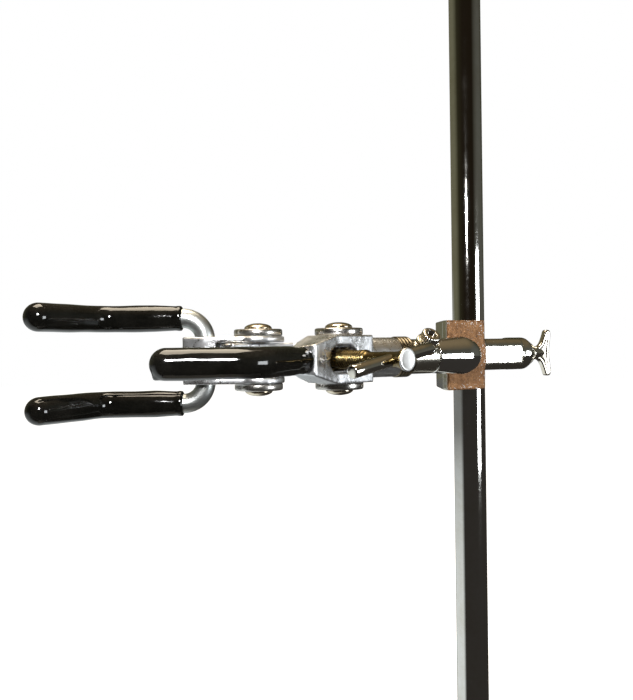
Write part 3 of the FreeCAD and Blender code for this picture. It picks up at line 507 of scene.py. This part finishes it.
def skin_of_rings(name, rings, closed_start=True, closed_end=True):
    """A mesh through rings of points; each ring has the same number of points."""
    work = bmesh.new()
    rows = [[work.verts.new(point) for point in ring] for ring in rings]
    count = len(rows[0])
    for lower, upper in zip(rows, rows[1:]):
        for i in range(count):
            j = (i + 1) % count
            work.faces.new((lower[i], lower[j], upper[j], upper[i]))
    if closed_start:
        work.faces.new(list(reversed(rows[0])))
    if closed_end:
        work.faces.new(rows[-1])
    bmesh.ops.recalc_face_normals(work, faces=work.faces)
    return mesh_from(work, name)


def frame_across(axis):
    """Two directions at right angles to an axis."""
    side = axis.cross(UP)
    if side.length < 0.01:
        side = axis.cross(Vector((1, 0, 0)))
    side.normalize()
    return side, axis.cross(side).normalized()


def turned_rings(origin, axis, profile, count=48):
    """Rings for a profile of (distance along the axis, radius), both in metres."""
    side, other = frame_across(axis)
    rings = []
    for along, radius in profile:
        centre = origin + axis * along
        rings.append([centre + side * (radius * math.cos(2 * math.pi * i / count))
                      + other * (radius * math.sin(2 * math.pi * i / count)) for i in range(count)])
    return rings


def thread_rings(origin, axis, start, end, radius, depth, pitch, count=40):
    """Rings whose radius follows a helix: the crests of a rolled screw thread, fading out at its ends."""
    side, other = frame_across(axis)
    steps = max(2, int((end - start) / (pitch / 10)))
    rings = []
    for step in range(steps + 1):
        along = start + (end - start) * step / steps
        fade = min(1.0, (along - start) / pitch, (end - along) / pitch)
        centre = origin + axis * along
        ring = []
        for i in range(count):
            turn = i / count
            phase = (along / pitch - turn) % 1.0
            crest = 1.0 - abs(2.0 * phase - 1.0)
            crest = min(1.0, max(0.0, 1.35 * crest - 0.12))
            reach = radius - depth * (1.0 - crest) * max(0.0, fade)
            angle = 2 * math.pi * turn
            ring.append(centre + side * (reach * math.cos(angle)) + other * (reach * math.sin(angle)))
        rings.append(ring)
    return rings


def thickened(origin, axis, sections, count=48):
    """One mesh skin from several runs of rings laid end to end along an axis."""
    rings = []
    for kind, values in sections:
        if kind == "turned":
            rings += turned_rings(origin, axis, values, count)
        else:
            rings += thread_rings(origin, axis, *values, count=count)
    return rings


def joined(name, meshes):
    """Several separate skins held as one mesh."""
    work = bmesh.new()
    for part in meshes:
        work.from_mesh(part)
        bpy.data.meshes.remove(part)
    return mesh_from(work, name)


def softened(source, piece_name, material, voxel, rounds, shift=None, also=()):
    """A casting: the designed solid with its edges eased and its skin made uneven."""
    copy = put_in_scene(piece_name + "_form", frame["nodes"][source].data.copy())
    skin = copy.modifiers.new("skin", "REMESH")
    skin.mode = "VOXEL"
    skin.voxel_size = voxel
    ease = copy.modifiers.new("ease", "SMOOTH")
    ease.factor = 0.5
    ease.iterations = rounds
    bpy.context.view_layer.update()
    made = bpy.data.meshes.new_from_object(copy.evaluated_get(bpy.context.evaluated_depsgraph_get()))
    form = copy.data
    bpy.data.objects.remove(copy)
    bpy.data.meshes.remove(form)
    made.name = piece_name
    if shift is not None:
        normals = [vertex.normal.copy() for vertex in made.vertices]
        for vertex, normal in zip(made.vertices, normals):
            vertex.co += normal * shift(vertex.co, normal)
    made.materials.clear()
    body = next(name for name, members in BODIES.items() if source in members)
    return finish_piece(made, material, body, (source, *also))


# ---------------------------------------------------------------- vinyl sleeves

# millimetres and radians in the jaw's frame, as the prongs are in the CAD
PRONG_START = (8.0, 2.1)
PRONG_BEND = math.radians(21.0)
PRONG_KINK = 43.2
KINK_TURN = math.radians(57.0)
KINK_RADIUS = 9.0
PRONG_TIP = 28.3
PRONG_REACH = 3.2
SLEEVE_ROOT = 16.5
SLEEVE_REACH = 4.4
SLEEVE_ROOT_REACH = 3.95
LIP = 0.9


def sleeve_line():
    """Centre line of a sleeve in the jaw's frame: its length, and the place and heading at any distance."""
    reach = KINK_RADIUS * math.tan(KINK_TURN / 2)
    straight = PRONG_KINK - reach
    arc = KINK_RADIUS * KINK_TURN
    length = straight + arc + PRONG_TIP - SLEEVE_REACH - reach

    def place(distance):
        heading = PRONG_BEND
        x = PRONG_START[0]
        y = PRONG_START[1]
        run = min(distance, straight)
        x += math.cos(heading) * run
        y += math.sin(heading) * run
        turned = min(max(distance - straight, 0.0), arc) / KINK_RADIUS
        x += KINK_RADIUS * (math.sin(heading) - math.sin(heading - turned))
        y += KINK_RADIUS * (math.cos(heading - turned) - math.cos(heading))
        heading -= turned
        run = max(distance - straight - arc, 0.0)
        return x + math.cos(heading) * run, y + math.sin(heading) * run, heading

    return length, place


def sleeve_reach(distance, length, seed):
    """Outer radius along the sleeve: slim at the root, a rolled lip, then a slow swell."""
    taper = min(1.0, (distance - SLEEVE_ROOT) / (2 * SLEEVE_REACH))
    reach = SLEEVE_ROOT_REACH + (SLEEVE_REACH - SLEEVE_ROOT_REACH) * taper
    swell = 0.05 * math.sin(distance * 0.21 + seed) + 0.03 * math.sin(distance * 0.53 + 2 * seed)
    lip = 0.22 * math.exp(-((distance - SLEEVE_ROOT - LIP) / LIP) ** 2)
    return reach + swell * min(1.0, distance / length * 2) - 0.06 + lip


def sleeve(name, jaw, node_name, body, height, seed, drip=0.0):
    length, place = sleeve_line()
    count = 56
    rings = []

    def ring(distance, reach, beyond=0.0):
        x, y, heading = place(distance)
        x += math.cos(heading) * beyond
        y += math.sin(heading) * beyond
        centre = jaw.at(x, y, height)
        across = (jaw.outward * math.cos(heading) - jaw.forward * math.sin(heading)).normalized()
        points = []
        for i in range(count):
            angle = 2 * math.pi * i / count
            wave = 1 + 0.006 * math.sin(3 * angle + distance * 0.3 + seed)
            points.append(centre + (across * math.cos(angle) + UP * math.sin(angle)) * (reach * wave * MM))
        return points

    # the sleeve's mouth, from inside its root to its lip
    for ahead, reach in ((3.0, PRONG_REACH + 0.02), (0.4, PRONG_REACH + 0.02), (0.05, PRONG_REACH + 0.2),
                         (0.0, SLEEVE_ROOT_REACH - 0.3)):
        rings.append(ring(SLEEVE_ROOT + ahead, reach))
    steps = 110
    for step in range(steps + 1):
        distance = SLEEVE_ROOT + 0.25 + (length - SLEEVE_ROOT - 0.25) * step / steps
        rings.append(ring(distance, sleeve_reach(distance, length, seed)))
    last = sleeve_reach(length, length, seed)
    dome_steps = 16
    for step in range(1, dome_steps):
        angle = math.pi / 2 * step / dome_steps
        rings.append(ring(length, last * math.cos(angle), SLEEVE_REACH * 0.985 * math.sin(angle)))
    rings.append(ring(length, last * 0.03, SLEEVE_REACH * 0.985))
    made = skin_of_rings(name, rings, closed_start=False)
    if drip:
        x, y, heading = place(length)
        ahead = jaw.forward * math.cos(heading) + jaw.outward * math.sin(heading)
        centre = jaw.at(x, y, height)
        nub = (ahead * 0.62 - UP * 0.78).normalized()
        for vertex in made.vertices:
            away = vertex.co - centre
            if away.length > 1e-6 and away.length < 2 * SLEEVE_REACH * MM:
                lean = max(0.0, away.normalized().dot(nub))
                vertex.co += nub * (drip * MM * lean ** 34)
    return finish_piece(made, VINYL, body, (node_name,))


def make_sleeves():
    sleeve("front_dipped_sleeve", FRONT, "front_sleeve", "front_jaw", 0.0, 0.6, drip=0.8)
    for place, seed in (("upper", 1.9), ("lower", 3.3)):
        node_name = "back_sleeve_" + place
        height = (middle(node_name).z - CLAMP_Z) / MM
        sleeve("back_dipped_sleeve_" + place, BACK, node_name, "back_jaw", height, seed)


# ---------------------------------------------------------------- castings

def dimples(depth, spacing):
    """An uneven skin: shallow rounded dimples of a given depth and spacing, in metres."""
    def shift(place, normal):
        coarse = noise_at(place / spacing)
        fine = noise_at(place / (spacing * 0.37))
        return depth * (0.7 * coarse + 0.3 * fine - 0.4)
    return shift


def rough_front(depth, spacing):
    """Worn casting: the front face is coarse, and the rest only slightly uneven."""
    def shift(place, normal):
        share = max(0.0, -normal.y) ** 4
        coarse = noise_at(place / spacing)
        grit = noise_at(place / (spacing * 0.3))
        return depth * (share * (0.6 * coarse + 0.5 * grit - 0.4) + 0.12 * (coarse - 0.5))
    return shift


def make_castings():
    for source, name, depth, spacing in (("front_jaw", "front_cast_jaw", 0.00007, 0.0022),
                                         ("back_jaw", "back_cast_jaw", 0.00007, 0.0022),
                                         ("clamp_head", "cast_head", 0.00006, 0.0025)):
        softened(source, name, ALLOY, 0.00036, 5, dimples(depth, spacing))
    softened("swivel_socket", "cast_socket", CHROME_SOCKET, 0.00032, 4,
             dimples(0.00004, 0.0017))
    softened("rod_holder", "cast_holder", HOLDER, 0.00040, 4, rough_front(0.00022, 0.0012))
    softened("arm_tube", "drawn_arm_tube", ARM_STEEL, 0.00030, 4)


# ---------------------------------------------------------------- pins, discs and screws

def domed(radius, height, seat, steps=10, up=True):
    """Profile of a rounded head over its seat, from the rim to its middle."""
    points = [(seat, radius * 0.96), (seat + 0.25 * MM, radius)]
    for step in range(1, steps + 1):
        angle = math.pi / 2 * step / steps
        along = seat + 0.25 * MM + (height - 0.25 * MM) * math.sin(angle)
        points.append((along, max(radius * math.cos(angle), 2e-5)))
    if up:
        return points
    return [(-along, reach) for along, reach in reversed(points)]


DISC_THICKNESS = 2.4 * MM


def make_pins(side, jaw):
    low, high = corners(side + "_jaw_pin")
    head_low, head_high = corners(side + "_pin_discs")
    head = (head_high.z - head_low.z) / 2
    height = (high.z - low.z) / 2 - head
    radius = (high.x - low.x) / 2 - 0.02 * MM
    shank = 2.5 * MM
    origin = Vector((jaw.pin.x, jaw.pin.y, CLAMP_Z))
    profile = domed(radius, height, head, up=False) + [(-head, shank), (head, shank)]
    profile += domed(radius, height, head)
    made = skin_of_rings(side + "_domed_pin", turned_rings(origin, UP, profile, 56))
    for vertex in made.vertices:
        away = vertex.co - origin
        crown = max(0.0, abs(away.z) - head) / height
        vertex.co.z += math.copysign(0.00012, away.z) * crown * (noise_at(vertex.co / 0.0016) - 0.8)
    finish_piece(made, PIN_NICKEL, "arm", (side + "_jaw_pin",))
    disc_radius = (head_high.x - head_low.x) / 2
    shells = []
    for sign in (1, -1):
        near = head - DISC_THICKNESS
        profile = [(near, shank + 0.1 * MM), (near, disc_radius - 0.5 * MM),
                   (near + 0.15 * MM, disc_radius - 0.15 * MM), (near + 0.5 * MM, disc_radius)]
        profile += [(head - 0.6 * MM, disc_radius), (head - 0.2 * MM, disc_radius - 0.18 * MM),
                    (head - 0.03 * MM, disc_radius - 0.6 * MM)]
        grooves = 9
        for step in range(1, grooves + 1):
            reach = disc_radius - 0.6 * MM - (disc_radius - radius) * step / (grooves + 1)
            profile.append((head - (0.05 if step % 2 else 0.01) * MM, reach))
        profile.append((head - 0.02 * MM, shank + 0.1 * MM))
        rings = turned_rings(origin, UP * sign, profile, 72)
        shells.append(skin_of_rings("shell", rings + [rings[0]], False, False))
    made = joined(side + "_turned_discs", shells)
    finish_piece(made, DISC_STEEL, "arm", (side + "_pin_discs",))


# millimetres out along the screw from its joint's place; BAR_SLIDE is how far each bar is pushed through
TEE_INNER = -7.0
TEE_STEP = 8.2
TEE_THREAD_END = 20.0
TEE_FLARE = 32.3
TEE_END = 36.3
BAR_PLACE = 30.5
BAR_LENGTH = 35.5
BAR_REACH = 1.95
BAR_LEAN = math.radians(10.0)
BAR_SLIDE = {"front": 0.0, "back": 12.5}
BUTTON_DEPTH = 0.7
PITCH = 1.0


def make_tee(side, jaw):
    body = side + "_screw"
    axis = jaw.outward
    inner = [(TEE_INNER, 1.9), (TEE_INNER + 0.6, 2.45)]
    shoulder = [(TEE_STEP + 0.1, 2.75), (TEE_STEP + 0.5, 2.98)]
    outer = [(TEE_THREAD_END + 0.1, 2.7), (TEE_THREAD_END + 0.6, 2.45), (TEE_THREAD_END + 1.4, 2.32),
             (26.0, 2.34), (26.4, 2.4), (TEE_FLARE, 2.4), (TEE_FLARE + 1.5, 2.75), (TEE_END - 1.1, 3.35),
             (TEE_END - BUTTON_DEPTH, 3.38), (TEE_END - BUTTON_DEPTH, 0.05)]
    rings = thickened(jaw.screw, axis, [
        ("turned", scaled(inner)),
        ("thread", (MM * (TEE_INNER + 0.7), TEE_STEP * MM, 2.48 * MM, 0.34 * MM, PITCH * MM)),
        ("turned", scaled(shoulder)),
        ("thread", ((TEE_STEP + 0.6) * MM, TEE_THREAD_END * MM, 2.98 * MM, 0.5 * MM, PITCH * MM)),
        ("turned", scaled(outer))])
    made = skin_of_rings(side + "_threaded_screw", rings)
    finish_piece(made, BRONZE, body, (side + "_tee_screw",))
    face = [(TEE_END - BUTTON_DEPTH, 0.05), (TEE_END - BUTTON_DEPTH, 3.4), (TEE_END - 0.4, 3.49),
            (TEE_END - 0.15, 3.4), (TEE_END - 0.02, 3.1), (TEE_END - 0.1, 2.6), (TEE_END - 0.16, 1.4),
            (TEE_END - 0.2, 0.05)]
    made = skin_of_rings(side + "_screw_button", turned_rings(jaw.screw, axis, scaled(face), 56))
    finish_piece(made, BUTTON, body)
    # the bar leans in its hole, across the screw
    sense = -1.0 if side == "back" else 1.0
    heading = (jaw.forward * math.cos(BAR_LEAN) - UP * (sense * math.sin(BAR_LEAN))).normalized()
    half = BAR_LENGTH / 2
    reach = BAR_REACH
    profile = [(-half, 0.05), (-half, reach - 0.35), (-half + 0.12, reach - 0.12), (-half + 0.4, reach),
               (-half + 5, reach), (half - 5, reach), (half - 0.4, reach), (half - 0.12, reach - 0.12),
               (half, reach - 0.35), (half, 0.05)]
    middle_place = jaw.screw + axis * (BAR_PLACE * MM) - heading * (BAR_SLIDE[side] * MM)
    made = skin_of_rings(side + "_sliding_bar", turned_rings(middle_place, heading, scaled(profile), 40))
    finish_piece(made, CHROME_BAR, body, (side + "_tee_bar",))


RIVET_DEPTH = 6.0 * MM
RIVET_HEAD = 0.6 * MM


def make_rivet():
    """A small set rivet in the front jaw's web, with a ring pressed round its head."""
    axis = FRONT.outward
    form = frame["nodes"]["front_rivet"].data
    along = [(vertex.co - FRONT.pin).dot(axis) for vertex in form.vertices]
    centre = middle("front_rivet")
    origin = centre - axis * (centre - FRONT.pin).dot(axis)
    top = max(along)
    seat = top - RIVET_HEAD
    profile = [(top - RIVET_DEPTH, 0.02 * MM), (top - RIVET_DEPTH, 1.1 * MM), (seat, 1.1 * MM),
               (seat, 1.46 * MM), (seat + 0.34 * MM, 1.42 * MM), (seat + 0.36 * MM, 1.15 * MM),
               (seat + 0.10 * MM, 1.0 * MM), (seat + 0.12 * MM, 0.8 * MM), (seat + 0.50 * MM, 0.62 * MM),
               (seat + 0.56 * MM, 0.3 * MM), (seat + 0.57 * MM, 0.02 * MM)]
    made = skin_of_rings("front_set_rivet", turned_rings(origin, axis, profile, 40))
    finish_piece(made, DISC_STEEL, "front_jaw", ("front_rivet",))


# ---------------------------------------------------------------- thumbscrew, ring and lock screw

def rounded(points, rounds):
    """A closed outline with its corners cut again and again until it is smooth."""
    for _ in range(rounds):
        cut = []
        for (ax, ay), (bx, by) in zip(points, points[1:] + points[:1]):
            cut += [(0.75 * ax + 0.25 * bx, 0.75 * ay + 0.25 * by),
                    (0.25 * ax + 0.75 * bx, 0.25 * ay + 0.75 * by)]
        points = cut
    return points


def inward_steps(outline):
    """The unit step into a closed outline from each of its points."""
    area = sum(ax * by - bx * ay for (ax, ay), (bx, by) in zip(outline, outline[1:] + outline[:1]))
    sense = math.copysign(1.0, area)
    steps = []
    for before, after in zip(outline[-1:] + outline[:-1], outline[1:] + outline[:1]):
        dx, dy = after[0] - before[0], after[1] - before[1]
        length = math.hypot(dx, dy)
        steps.append((-dy / length * sense, dx / length * sense))
    return steps


def make_thumbscrew():
    low, high = corners("thumbscrew")
    axis = Vector((1, 0, 0))
    origin = Vector((0, 0, CLAMP_Z))
    wing_length = 10.5 * MM
    wing_start = high.x - wing_length
    reach = 3.0 * MM
    rings = thickened(origin, axis, [
        ("turned", [(low.x, 1.6 * MM), (low.x + 0.2 * MM, 1.95 * MM), (low.x + 1.2 * MM, 2.0 * MM)]),
        ("thread", (low.x + 1.3 * MM, wing_start - 1.6 * MM, reach - 0.02 * MM, 0.45 * MM, MM)),
        ("turned", [(wing_start - 1.2 * MM, 2.55 * MM), (wing_start - 0.4 * MM, 2.6 * MM),
                    (wing_start + 0.6 * MM, 2.9 * MM), (wing_start + 2.6 * MM, 2.6 * MM),
                    (wing_start + 5.5 * MM, 1.9 * MM), (wing_start + 7.4 * MM, 0.9 * MM),
                    (wing_start + 7.8 * MM, 0.05 * MM)])])
    stem = skin_of_rings("stem", rings)
    for vertex in stem.vertices:
        over = vertex.co.x - wing_start
        if over > 0:
            vertex.co.y *= 1.0 - 0.42 * min(1.0, over / (4 * MM))
    half_height = (high.z - low.z) / 2
    flare = [(0.0, 0.23), (0.28, 0.26), (0.46, 0.38), (0.62, 0.72), (0.70, 0.985),
             (0.92, 0.985), (0.99, 0.84), (0.93, 0.42)]
    points = [(x * wing_length, z * half_height) for x, z in flare]
    points += [(0.86 * wing_length, 0.0)] + [(x, -z) for x, z in reversed(points)]
    outline = rounded(points, 3)
    inward = inward_steps(outline)
    layers = [(0.0, 0.55), (0.03, 0.9), (0.3, 1.16), (0.8, 1.28), (1.3, 1.22), (1.75, 0.95), (2.2, 0.9)]

    def layer_row(inset, thick):
        return [Vector((wing_start + x + dx * inset * MM, thick * MM, CLAMP_Z + z + dz * inset * MM))
                for (x, z), (dx, dz) in zip(outline, inward)]

    rows = [layer_row(inset, -thick) for inset, thick in reversed(layers)]
    rows += [layer_row(inset, thick) for inset, thick in layers]
    blade = skin_of_rings("blade", rows)
    made = joined("spade_thumbscrew", [stem, blade])
    finish_piece(made, NICKEL, "thumbscrew", ("thumbscrew",))


def make_ring():
    low, high = corners("arm_ring")
    axis = Vector((1, 0, 0))
    origin = Vector((0, ARM_Y, CLAMP_Z))
    reach = (high.z - low.z) / 2
    inner = 6.3 * MM
    length = high.x - low.x
    profile = [(low.x, inner), (low.x, reach - 0.6 * MM), (low.x + 0.15 * MM, reach - 0.2 * MM),
               (low.x + 0.5 * MM, reach)]
    grooves = 4
    for groove in range(1, grooves):
        place = low.x + length * groove / grooves
        for offset, sunk in ((-0.32, 0.0), (-0.16, 0.22), (0.16, 0.22), (0.32, 0.0)):
            profile.append((place + offset * MM, reach - sunk * MM))
    profile += [(high.x - 0.5 * MM, reach), (high.x - 0.15 * MM, reach - 0.2 * MM),
                (high.x, reach - 0.6 * MM), (high.x, inner)]
    rings = turned_rings(origin, axis, profile, 72)
    made = skin_of_rings("grooved_ring", rings + [rings[0]], False, False)
    finish_piece(made, RING_DARK, "arm", ("arm_ring",))


def hexagon_reach(angle, flats):
    """Distance from the middle of a hexagon to its side, at an angle."""
    sector = math.pi / 3
    return flats / 2 / math.cos((angle + sector / 2) % sector - sector / 2)


def shaped_rings(origin, axis, layers, count=96):
    """Rings whose radius is a function of the angle, one function for each height."""
    side, other = frame_across(axis)
    rings = []
    for along, reach in layers:
        centre = origin + axis * along
        ring = []
        for i in range(count):
            angle = 2 * math.pi * i / count
            ring.append(centre + (side * math.cos(angle) + other * math.sin(angle)) * reach(angle))
        rings.append(ring)
    return rings


def make_lock_screw():
    """Knurled socket screw that leans towards the front, across the arm."""
    origin = Vector(JOINTS["lock_turn"]["pos_m"])
    axis = Vector(JOINTS["lock_turn"]["axis"]).normalized()
    foot = 5.0 * MM
    seat = 8.2 * MM
    top = seat + 3.2 * MM
    radius = 3.5 * MM
    flats = 3.2 * MM

    def plain(reach):
        return lambda angle: reach

    def knurled(reach, depth):
        return lambda angle: reach - depth * (0.5 + 0.5 * math.cos(26 * angle))

    def drive(angle):
        return hexagon_reach(angle, flats)

    layers = [(foot, plain(1.4 * MM)), (foot + 0.4 * MM, plain(1.95 * MM)), (seat, plain(1.95 * MM)),
              (seat + 0.02 * MM, plain(radius - 0.5 * MM)),
              (seat + 0.3 * MM, knurled(radius - 0.1 * MM, 0.1 * MM)),
              (seat + 0.6 * MM, knurled(radius, 0.28 * MM)), (top - 0.7 * MM, knurled(radius, 0.28 * MM)),
              (top - 0.3 * MM, knurled(radius - 0.15 * MM, 0.12 * MM)), (top, plain(radius - 0.7 * MM)),
              (top, lambda angle: drive(angle) + 0.15 * MM), (top - 0.15 * MM, drive),
              (top - 1.6 * MM, drive), (top - 1.7 * MM, plain(0.05 * MM))]
    made = skin_of_rings("knurled_lock_screw", shaped_rings(origin, axis, layers, 156))
    finish_piece(made, NICKEL, "lock_screw", ("arm_lock_screw",))


def make_nut(source, name, axis, inner, body):
    """A hexagon nut with its corners turned down on both faces."""
    low, high = corners(source)
    centre = (low + high) / 2
    along = Vector((abs(axis.x), abs(axis.y), abs(axis.z)))
    length = (high - low).dot(along)
    across = (high - low) - along * length
    flats = min(value for value in across if value > 1e-6)
    half = length / 2
    corner = flats / 2 / math.cos(math.pi / 6)

    def turned_down(cut):
        return lambda angle: min(hexagon_reach(angle, flats), corner - cut)

    def bore(extra):
        return lambda angle: inner + extra

    layers = [(-half, bore(0.0)), (-half, turned_down(corner - flats / 2 * 0.97)),
              (-half + 0.35 * MM, turned_down(0.55 * MM)), (-half + 0.8 * MM, turned_down(0.0)),
              (half - 0.8 * MM, turned_down(0.0)), (half - 0.35 * MM, turned_down(0.55 * MM)),
              (half, turned_down(corner - flats / 2 * 0.97)), (half, bore(0.3 * MM)),
              (half - 0.3 * MM, bore(0.0))]
    rings = shaped_rings(centre, along, layers, 96)
    made = skin_of_rings(name, rings + [rings[0]], False, False)
    finish_piece(made, PLAIN_STEEL, body, (source,))


def make_feet():
    """Moulded rubber feet: a ribbed side, a soft lower edge and a cup under each."""
    low, high = corners("base_feet")
    inset = 20.0 * MM / 2
    height = high.z - low.z
    shells = []
    for x in (low.x + inset, high.x - inset):
        for y in (low.y + inset, high.y - inset):
            profile = [(height, 2.0 * MM), (height, inset - 0.05 * MM), (height - 0.5 * MM, inset),
                       (height * 0.6, inset), (height * 0.5, inset - 0.35 * MM),
                       (height * 0.4, inset - 0.05 * MM), (0.9 * MM, inset - 0.2 * MM),
                       (0.35 * MM, inset - 0.5 * MM), (0.0, inset - 1.3 * MM), (0.0, 4.0 * MM),
                       (1.4 * MM, 3.4 * MM), (1.6 * MM, 0.05 * MM)]
            rings = turned_rings(Vector((x, y, low.z)), UP, profile, 56)
            shells.append(skin_of_rings("foot", rings))
    made = joined("moulded_feet", shells)
    finish_piece(made, RUBBER, "stand", ("base_feet",))


# ---------------------------------------------------------------- light, floor and camera

# the directions that the camera looks along and has at its right, and its place in row metres
VIEW_TURN = math.radians(27.0)
VIEW = Vector((math.sin(VIEW_TURN), math.cos(VIEW_TURN), 0.0))
RIGHT = Vector((math.cos(VIEW_TURN), -math.sin(VIEW_TURN), 0.0))
CAMERA_PLACE = Vector((-0.105, -0.2263, 0.3043))
CAMERA_DIP = math.radians(0.33)
CAMERA_LEAN = math.radians(0.8)
CAMERA_LENS = 39.8


def make_world():
    world = bpy.data.worlds.new("studio")
    bpy.context.scene.world = world
    world.use_nodes = True
    tree = world.node_tree
    tree.nodes.clear()
    out = node(tree, "ShaderNodeOutputWorld")
    seen = node(tree, "ShaderNodeBackground")
    seen.inputs["Color"].default_value = (1.0, 1.0, 1.0, 1.0)
    around = node(tree, "ShaderNodeBackground")
    path = node(tree, "ShaderNodeLightPath")
    surface = shader_mix(tree, path.outputs["Is Camera Ray"], around.outputs[0], seen.outputs[0])
    tree.links.new(surface, out.inputs[0])
    place = node(tree, "ShaderNodeTexCoord").outputs["Generated"]

    def facing(direction, low, high):
        return ramp_between(tree, dot_with(tree, place, direction), low, high)

    # a dim room: brown behind the camera, olive sides, a warm ceiling, a pale sweep low at the far left
    room = (0.040, 0.038, 0.020)
    for direction, low, high, colour in (
            (-VIEW, 0.0, 0.8, (0.014, 0.010, 0.006)),
            (RIGHT, 0.55, 0.95, (0.10, 0.10, 0.085)),
            (VIEW * 0.7 - RIGHT * 0.7, 0.45, 0.85, (0.16, 0.155, 0.10)),
            (UP, 0.45, 0.85, (0.20, 0.15, 0.085)),
            (-UP, 0.0, 0.35, (0.05, 0.055, 0.06)),
            (VIEW * 0.75 - RIGHT * 0.45 - UP * 0.5, 0.80, 0.97, (0.75, 0.80, 0.80))):
        room = colour_mix(tree, facing(direction, low, high), room, colour)
    tree.links.new(room, around.inputs["Color"])


def area_light(name, place, target, width, height, power, colour=(1, 1, 1)):
    data = bpy.data.lights.new(name, "AREA")
    data.shape = "RECTANGLE"
    data.size = width
    data.size_y = height
    data.energy = power
    data.color = colour
    lamp = put_in_scene(name, data)
    lamp.location = place
    lamp.rotation_euler = (Vector(target) - Vector(place)).to_track_quat("-Z", "Y").to_euler()
    return lamp


def make_lights():
    clamp = Vector((0.0, 0.0, CLAMP_Z))
    overhead = clamp + UP * 1.1 + VIEW * 0.10 - RIGHT * 0.15
    area_light("overhead_panel", overhead, clamp, 0.8, 0.62, 13.0, (1.0, 0.87, 0.68))
    window = clamp + RIGHT * 1.15 - VIEW * 0.56 - UP * 0.03
    area_light("window_panel", window, clamp, 0.52, 0.46, 9.0, (0.93, 0.97, 1.0))
    side = clamp - RIGHT * 1.3 - VIEW * 0.5 + UP * 0.9
    fill = area_light("left_fill", side, clamp, 0.4, 0.4, 4.0, (0.95, 0.97, 1.0))
    fill.visible_glossy = False
    near_camera = CAMERA_PLACE + UP * 0.10 - RIGHT * 0.02
    lamp = area_light("round_lamp", near_camera, clamp, 0.045, 0.045, 1.0)
    lamp.data.shape = "DISK"


# the floor shows its shading within the first distance of the origin, and is plain white past the second
FLOOR_SHADE = 0.18
FLOOR_WHITE = 0.36
FLOOR_REACH = 6.0


def make_floor():
    work = bmesh.new()
    bmesh.ops.create_circle(work, cap_ends=True, segments=96, radius=FLOOR_REACH)
    bmesh.ops.subdivide_edges(work, edges=work.edges[:], cuts=1)
    floor = put_in_scene("pale_floor", mesh_from(work, "pale_floor"))
    material = bpy.data.materials.new("pale_floor")
    material.use_nodes = True
    tree = material.node_tree
    shader = tree.nodes["Principled BSDF"]
    shader.inputs["Roughness"].default_value = 0.7
    place = object_place(tree)
    tone = colour_mix(tree, noise(tree, place, 40.0, 4.0, 0.6), (0.84, 0.85, 0.86), (0.88, 0.88, 0.88))
    tree.links.new(tone, shader.inputs["Base Color"])
    path = node(tree, "ShaderNodeLightPath")
    away = node(tree, "ShaderNodeVectorMath", operation="LENGTH")
    tree.links.new(place, away.inputs[0])
    distance = away.outputs["Value"]
    sheet = ramp_between(tree, distance, FLOOR_SHADE, FLOOR_WHITE, 0.42, 1.05)
    tree.links.new(times(tree, sheet, path.outputs["Is Camera Ray"]), shader.inputs["Emission Strength"])
    shader.inputs["Emission Color"].default_value = (1.0, 1.0, 1.0, 1.0)
    # painted reflection: glossy rays see a glowing sheet here in place of the lit floor, dark towards the camera
    # and the right, pale at the left
    share = math_node(tree, "DIVIDE", dot_with(tree, place, VIEW * 0.51 - RIGHT * 0.86), distance)
    pale = times(tree, ramp_between(tree, share, 0.45, 0.75),
                 ramp_between(tree, distance, 0.5, 2.2, 1.0, 0.25))
    painted_reflection = node(tree, "ShaderNodeEmission")
    tree.links.new(colour_mix(tree, pale, (0.034, 0.031, 0.028), (0.85, 0.90, 0.90)), painted_reflection.inputs["Color"])
    surface = shader_mix(tree, path.outputs["Is Glossy Ray"], shader.outputs[0], painted_reflection.outputs[0])
    tree.links.new(surface, tree.nodes["Material Output"].inputs["Surface"])
    floor.data.materials.append(material)


def make_camera():
    data = bpy.data.cameras.new("camera")
    data.sensor_fit = "HORIZONTAL"
    data.sensor_width = 36.0
    data.lens = CAMERA_LENS
    data.clip_start = 0.01
    data.clip_end = 50.0
    camera = put_in_scene("camera", data)
    forward = VIEW * math.cos(CAMERA_DIP) - UP * math.sin(CAMERA_DIP)
    level_up = RIGHT.cross(forward).normalized()
    right = RIGHT * math.cos(CAMERA_LEAN) - level_up * math.sin(CAMERA_LEAN)
    upward = level_up * math.cos(CAMERA_LEAN) + RIGHT * math.sin(CAMERA_LEAN)
    turn = Matrix((right, upward, -forward)).transposed()
    camera.matrix_world = Matrix.Translation(CAMERA_PLACE) @ turn.to_4x4()
    bpy.context.scene.camera = camera
    bpy.context.scene.view_settings.view_transform = "Standard"


dress_nodes()
make_sleeves()
make_castings()
for jaw_side, jaw_frame in (("front", FRONT), ("back", BACK)):
    make_pins(jaw_side, jaw_frame)
    make_tee(jaw_side, jaw_frame)
make_rivet()
make_thumbscrew()
make_ring()
make_lock_screw()
make_nut("swivel_nut", "swivel_lock_nut", Vector((0, 1, 0)), 3.0 * MM, "socket")
make_nut("base_nut", "base_hexagon_nut", UP, 5.0 * MM, "stand")
make_feet()
make_world()
make_lights()
make_floor()
make_camera()
